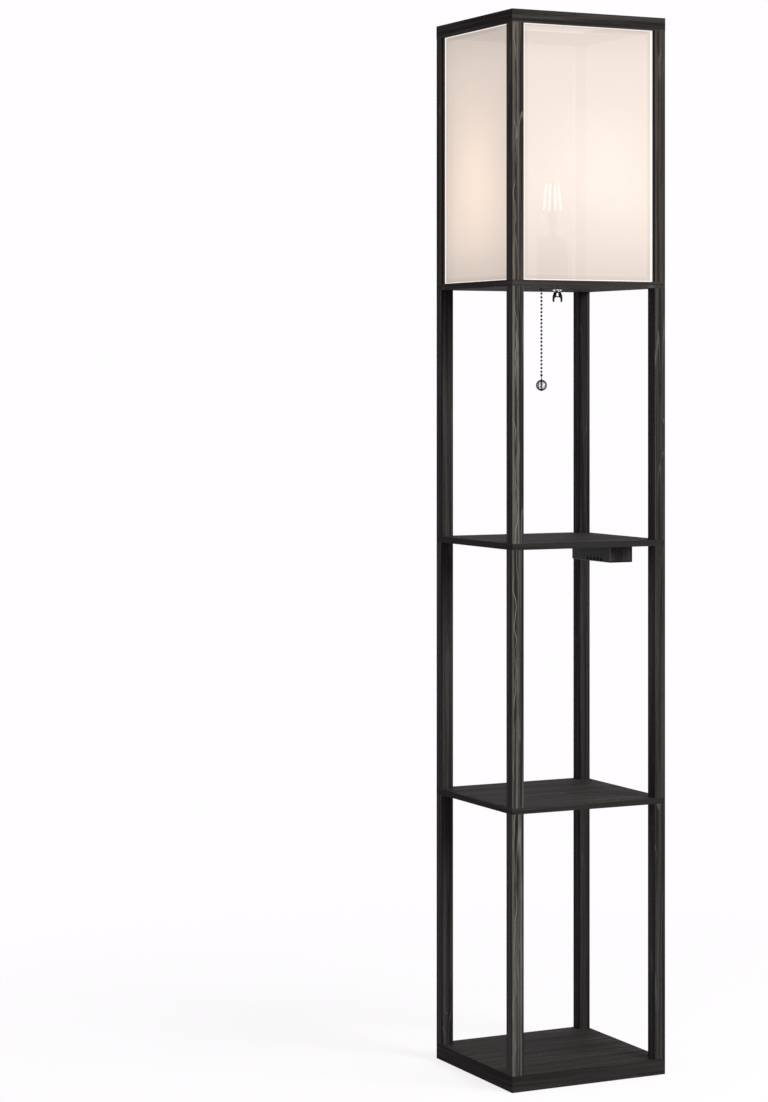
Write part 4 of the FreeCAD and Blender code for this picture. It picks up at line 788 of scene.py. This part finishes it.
def metalMaterial(name, color, roughness, drawn=(60, 60, 1400), depth=0.00001):
    # metal with fine drawn lines, slight stains and uneven polish
    look = metalTexture
    material = newMaterial(name, Metallic=1.0)
    place = objectPlace(material)
    lines = noise(material, stretched(material, place, drawn), 1, 3, 0.6)
    cloud = noise(material, place, look["cloudScale"], 4, 0.6)
    dark = tuple(part * look["dark"] for part in color)
    light = tuple(min(1, part * look["light"]) for part in color)
    mixed = calc(material, "MULTIPLY_ADD", lines, look["lineShare"],
                 product(material, cloud, 1 - look["lineShare"]))
    polish = [max(look["smoothest"], roughness + stray) for stray in look["polish"]]
    return finish(material, ramp(material, mixed, *zip(look["spread"], (dark, light))),
                  remap(material, cloud, *look["stains"], *polish), lines, depth)


def glassMaterial(name, color, index, smear):
    # clear, with faint smears
    look = glassTexture
    material = newMaterial(name, Base_Color=color, IOR=index, Transmission_Weight=1.0)
    cloud = noise(material, objectPlace(material), look["cloudScale"], 4, 0.6, look["distortion"])
    return finish(material, None, remap(material, cloud, *look["spread"], 0, smear))


# the ball's dark rim is painted shade: its colour turns black where the surface is seen edge-on
def paintRimShade(material, look):
    shaderOf(material).inputs["Specular IOR Level"].default_value = look["shine"]
    rimOn = addNode(material, "LayerWeight")
    rimOn.inputs["Blend"].default_value = 0.5
    feed(material, ramp(material, rimOn.outputs["Facing"], *look["stops"]),
         shaderOf(material).inputs["Base Color"])


finishes = {}
for makeMaterial, looks in ((plasticMaterial, plasticLooks), (metalMaterial, metalLooks),
                            (glassMaterial, glassLooks)):
    for name, look in looks.items():
        finishes[name] = makeMaterial(name, **look)
paintRimShade(finishes["ballAcrylic"], ballRimShade)
for name, nodes in plainPieces.items():
    for node in nodes:
        coat(node, finishes[name])
print("stage: plain finishes")

holderShape = {
    "axis": (0.005, 0.0),  # the bulb stands on it too
    "cupEdge": 0.0004,
    "insulatorEdge": 0.0003,
    "springKeep": 0.12,  # share of its height that the lever's spring keeps when it is pressed
}
softCopy("holder_cup", "frame", finishes["holderWhite"], holderShape["cupEdge"])
softCopy("holder_insulator", "frame", finishes["ceramic"], holderShape["insulatorEdge"])
softCopy("screw_shell", "frame", finishes["stampedBrass"])
softCopy("bulb_insulator", "bulb", finishes["darkGlass"])
leverSpring = softCopy("lever_spring", "frame", finishes["zincSteel"])
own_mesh(leverSpring)
softCopy("bulb_stem", "bulb", finishes["stemGlass"])

bulbShape = {
    "axis": holderShape["axis"],
    "outline": ((0.01235, 0.0454), (0.01235, 0.0500), (0.0160, 0.0585), (0.0200, 0.0690),
                (0.0203, 0.0860), (0.0235, 0.1000), (0.0325, 0.1150), (0.0364, 0.1320),
                (0.0362, 0.1500), (0.0322, 0.1700), (0.0200, 0.1845), (0.0090, 0.1880),
                (0.0, 0.1884)),  # radius and height over the lamp board
    "steps": 32,
    "rounding": 2,
    "wall": 0.0008,
}


def addBulbGlass(look):
    outline = raised(look["outline"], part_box("lamp_board")[1].z)
    piece = addPiece("bulbGlass", lathe(outline, look["axis"], look["steps"]),
                     finishes["bulbGlass"], "bulb", ["bulb_glass"], smooth=180)
    rounding = piece.modifiers.new("smooth", "SUBSURF")
    rounding.levels = rounding.render_levels = look["rounding"]
    wall = piece.modifiers.new("wall", "SOLIDIFY")
    wall.thickness = look["wall"]
    wall.offset = -1


filamentShape = {
    "axis": holderShape["axis"],
    "bars": 4,
    "radius": 0.0015,
    "foot": 0.1100,
    "head": 0.1545,
    "footReach": 0.0138,
    "headReach": 0.0098,
    "turn": -7.35,
    "sides": 16,
    "cap": 0.0022,  # bare metal at each end
    "capRadius": 0.00105,
    "capSides": 12,
    "light": (0.86, 0.94, 1.0),
    "strength": 3.4,
    "speckleScale": 1600,
    "coats": ((0.35, (0.75, 0.42, 0.05)), (0.65, (0.9, 0.6, 0.12))),
}


def filamentMaterial(look):
    material = newMaterial("filamentCoat", Roughness=0.5, Emission_Color=look["light"],
                           Emission_Strength=look["strength"])
    speckle = noise(material, objectPlace(material), look["speckleScale"], 3, 0.6)
    return finish(material, ramp(material, speckle, *look["coats"]))


def addFilaments(look):
    middle = Vector((*look["axis"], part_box("lamp_board")[1].z))
    bars, caps = bmesh.new(), bmesh.new()
    for index in range(look["bars"]):
        turn = math.radians(look["turn"] + 360 / look["bars"] * index)
        away = Vector((math.cos(turn), math.sin(turn), 0))
        foot = middle + away * look["footReach"] + Vector((0, 0, look["foot"]))
        head = middle + away * look["headReach"] + Vector((0, 0, look["head"]))
        bare = (head - foot).normalized() * look["cap"]
        rod(bars, foot + bare, head - bare, look["radius"], look["sides"])
        rod(caps, foot, foot + bare, look["capRadius"], look["capSides"])
        rod(caps, head - bare, head, look["capRadius"], look["capSides"])
    addPiece("filamentBars", bars, filamentMaterial(look), "bulb", ["bulb_filaments"])
    addPiece("filamentCaps", caps, finishes["leadWire"], "bulb")


addBulbGlass(bulbShape)
addFilaments(filamentShape)
print("stage: holder and bulb")

chainShape = {
    "bead": 0.00176,
    "link": 0.00014,
    "linkSides": 6,
    "pitch": 0.0057,
    "innerCount": 5,
    "hangingCount": 23,
    "across": 12,
    "upwards": 8,
    "bushEdge": 0.0002,
}


def addBeads(name, node, body, count, topBead, look):  # beads on a link wire, in the node's place
    low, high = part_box(node)
    x, y = (low.x + high.x) / 2, (low.y + high.y) / 2
    shape = bmesh.new()
    for index in range(count):
        spot = Matrix.Translation((x, y, topBead - index * look["pitch"]))
        bmesh.ops.create_uvsphere(shape, u_segments=look["across"], v_segments=look["upwards"],
                                  radius=look["bead"], matrix=spot)
    if count > 1:
        rod(shape, (x, y, low.z), (x, y, high.z), look["link"], look["linkSides"])
    addPiece(name, shape, finishes["blackBrass"], body, [node])


def addChain(look):
    bead, inner, hanging = look["bead"], look["innerCount"], look["hangingCount"]
    addBeads("innerBeads", "chain_upper", "chain_top", inner,
             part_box("chain_upper")[1].z - bead, look)
    addBeads("pivotBead", "chain_pivot_bead", "chain_pivot", 1,
             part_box("chain_pivot_bead")[1].z - bead, look)
    addBeads("hangingBeads", "chain_lower", "chain_hanging", hanging,
             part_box("chain_lower")[0].z + bead + (hanging - 1) * look["pitch"], look)


addChain(chainShape)

ballShape = {
    "radius": 0.00865,
    "bore": 0.0016,
    "sides": 64,
    "steps": 48,
    "pinEnd": ((0, -0.0003), (0.0015, -0.0002), (0.0015, 0.0004),
               (0.0009, 0.0012)),  # radius and height from the ball's underside
    "pinTop": ((0.0009, -0.0012), (0.0015, -0.0002), (0.0015, 0.0003),
               (0.0006, 0.0007)),  # from the top of the ball
    "bell": ((0.0006, -0.0034), (0.00144, -0.0030), (0.0018, -0.0020), (0.0018, -0.0010),
             (0.00126, -0.0002), (0, 0)),  # from the top of the connector
}


def addPullBall(look):
    low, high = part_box("pull_ball")
    middle, radius = (low + high) / 2, look["radius"]
    axis = (middle.x, middle.y)
    shape = bmesh.new()
    upright = Matrix.Translation(middle) @ Matrix.Rotation(math.pi / 2, 4, "X")
    bmesh.ops.create_circle(shape, segments=look["sides"], radius=radius, matrix=upright)
    bmesh.ops.bisect_plane(shape, geom=shape.verts[:] + shape.edges[:], clear_inner=True,
                           plane_co=middle + Vector((look["bore"], 0, 0)), plane_no=(1, 0, 0))
    shape.edges.new([spot for spot in shape.verts if len(spot.link_edges) == 1])
    closeSpin(shape, axis, look["steps"])
    addPiece("pullBall", shape, finishes["ballAcrylic"], "chain_hanging", ["pull_ball"], smooth=60)
    outline = [*raised(look["pinEnd"], middle.z - radius),
               *raised(look["pinTop"], middle.z + radius),
               *raised(look["bell"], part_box("ball_connector")[1].z)]
    addPiece("ballConnector", lathe(outline, axis, look["steps"] // 2), finishes["blackBrass"],
             "chain_hanging", ["ball_connector"], smooth=50)


addPullBall(ballShape)
softCopy("chain_bush", "frame", finishes["mattBlack"], chainShape["bushEdge"])
print("stage: pull chain")

clipStudShape = {
    "head": 0.0019,  # radius of the head under the clip
    "headEdge": 0.0003,
    "shank": 0.0010,
    "grip": 0.0010,  # how deep the head sits in the clip
    "boss": 0.0072,
    "tall": 0.0040,
    "flare": ((0.42, 0), (0.50, 0.05), (0.58, 0.20), (0.72, 0.42), (0.90, 0.60), (0.98, 0.70),
              (1, 0.80), (1, 1)),  # shares of the boss's radius and height
    "steps": 48,
    "clipEdge": 0.00035,
}


def addClipStud(look):
    low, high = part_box("clip_stud")
    axis = ((low.x + high.x) / 2, (low.y + high.y) / 2)
    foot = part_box("cord_clip")[1].z
    head, edge, shank = look["head"], look["headEdge"], look["shank"]
    boss, tall = look["boss"], look["tall"]
    flare = [(across * boss, foot + rise * tall) for across, rise in look["flare"]]
    outline = [(0, low.z), (head - edge, low.z), (head, low.z + edge),
               (head, foot - look["grip"]), (shank, foot - look["grip"]), (shank, foot),
               *flare, (shank, foot + tall), (shank, high.z), (0, high.z)]
    addPiece("clipStud", lathe(outline, axis, look["steps"]), finishes["chrome"], "frame",
             ["clip_stud"], smooth=35)


addClipStud(clipStudShape)
softCopy("cord_clip", "frame", finishes["glossBlack"], clipStudShape["clipEdge"], 3)
print("stage: cord clip")

casingFinish = {
    "shine": 0.08,
    "near": (0.046, 0.039, 0.040),  # the left face beside its front edge; far is its painted shade further back, which the brushed streaks take too
    "far": (0.012, 0.010, 0.0105),
    # painted light: the front and back faces are lighter
    "front": (0.112, 0.096, 0.098),
    # span over which painted shade darkens the box from its front edge back
    "reach": (0.004, 0.085),
    "brushScale": (300, 300, 30),
    "brushSpread": (0.42, 0.62),
    "brushShare": 0.45,
    # painted highlight along the rounded upright front-left edge
    "edge": (0.27, 0.26, 0.26),
    "highlightWidth": (0.0015, 0.0030),  # each mark is full up to the first width, and then fades
    "highlightShare": 0.8,
    "shadow": (0.003, 0.003, 0.003),
    "lip": (0.00182, 0.0026),
    "lipShare": 0.85,
    "endShade": (0.00225, 0.0045),  # the front face is darkest beside its far edge
    "endShare": 0.9,
    "vents": 5,
    "ventPitch": 0.0110,
    "ventStart": -0.0340,
    "ventReach": (0.0030, 0.0047),
    "ventShade": (0.0096, 0.0150),  # heights at which the painted shadow over a vent is full, and gone
    "ventFace": 0.003,  # painted shadow only on the left face, this deep
    "ventShadow": (0.002, 0.002, 0.002),
    "ventShadowShare": 0.92,
    "grainScale": 2600,
    "roughness": (0.38, 0.52),
    "relief": 0.00002,
    "rounding": 0.0011,
    "longEdge": 0.018,  # only edges longer than this are rounded
    "plateEdge": 0.0002,
}


# painted shadow rising over each vent notch on the left face
def paintedVentShadow(material, y, above, aside, look):
    step = calc(material, "DIVIDE", calc(material, "SUBTRACT", y, look["ventStart"]),
                look["ventPitch"])
    step = calc(material, "MINIMUM", calc(material, "MAXIMUM", step, 0), look["vents"] - 1)
    vent = calc(material, "MULTIPLY_ADD", calc(material, "ROUND", step), look["ventPitch"],
                look["ventStart"])
    off = calc(material, "ABSOLUTE", calc(material, "SUBTRACT", y, vent))
    return product(material, remap(material, off, *look["ventReach"], look["ventShadowShare"], 0),
                   remap(material, above, *look["ventShade"], 1, 0),
                   calc(material, "LESS_THAN", aside, look["ventFace"]))


def casingMaterial(look):
    material = newMaterial("casingPlastic", Specular_IOR_Level=look["shine"])
    place = objectPlace(material)
    x, y, z = splitAxes(material, place)
    low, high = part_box("charger_casing")
    aside, back = calc(material, "SUBTRACT", x, low.x), calc(material, "SUBTRACT", y, low.y)
    above = calc(material, "SUBTRACT", z, low.z)
    brushed = noise(material, stretched(material, place, look["brushScale"]), 1, 3, 0.6)
    tone = blend(material, facing(material, 1), look["near"], look["front"])
    corner = calc(material, "MAXIMUM", aside, back)
    end = calc(material, "SUBTRACT", high.x, x)
    # painted shade towards the back, the brushed streaks, a painted highlight on the front-left
    # edge, painted shade at the foot and the far end, painted shadow over the vents
    for share, color in (
            (remap(material, back, *look["reach"], 0, 1), look["far"]),
            (remap(material, brushed, *look["brushSpread"], 0, look["brushShare"]), look["far"]),
            (remap(material, corner, *look["highlightWidth"], look["highlightShare"], 0), look["edge"]),
            (remap(material, above, *look["lip"], look["lipShare"], 0), look["shadow"]),
            (remap(material, end, *look["endShade"], look["endShare"], 0), look["shadow"]),
            (paintedVentShadow(material, y, above, aside, look), look["ventShadow"])):
        tone = blend(material, share, tone, color)
    spark = noise(material, place, look["grainScale"], 2)
    return finish(material, tone, remap(material, spark, 0.35, 0.65, *look["roughness"]), spark,
                  look["relief"])


softCopy("charger_casing", "frame", casingMaterial(casingFinish), casingFinish["rounding"], 3,
         casingFinish["longEdge"])
softCopy("charger_faceplate", "frame", finishes["mattBlack"], casingFinish["plateEdge"])
print("stage: charging box")
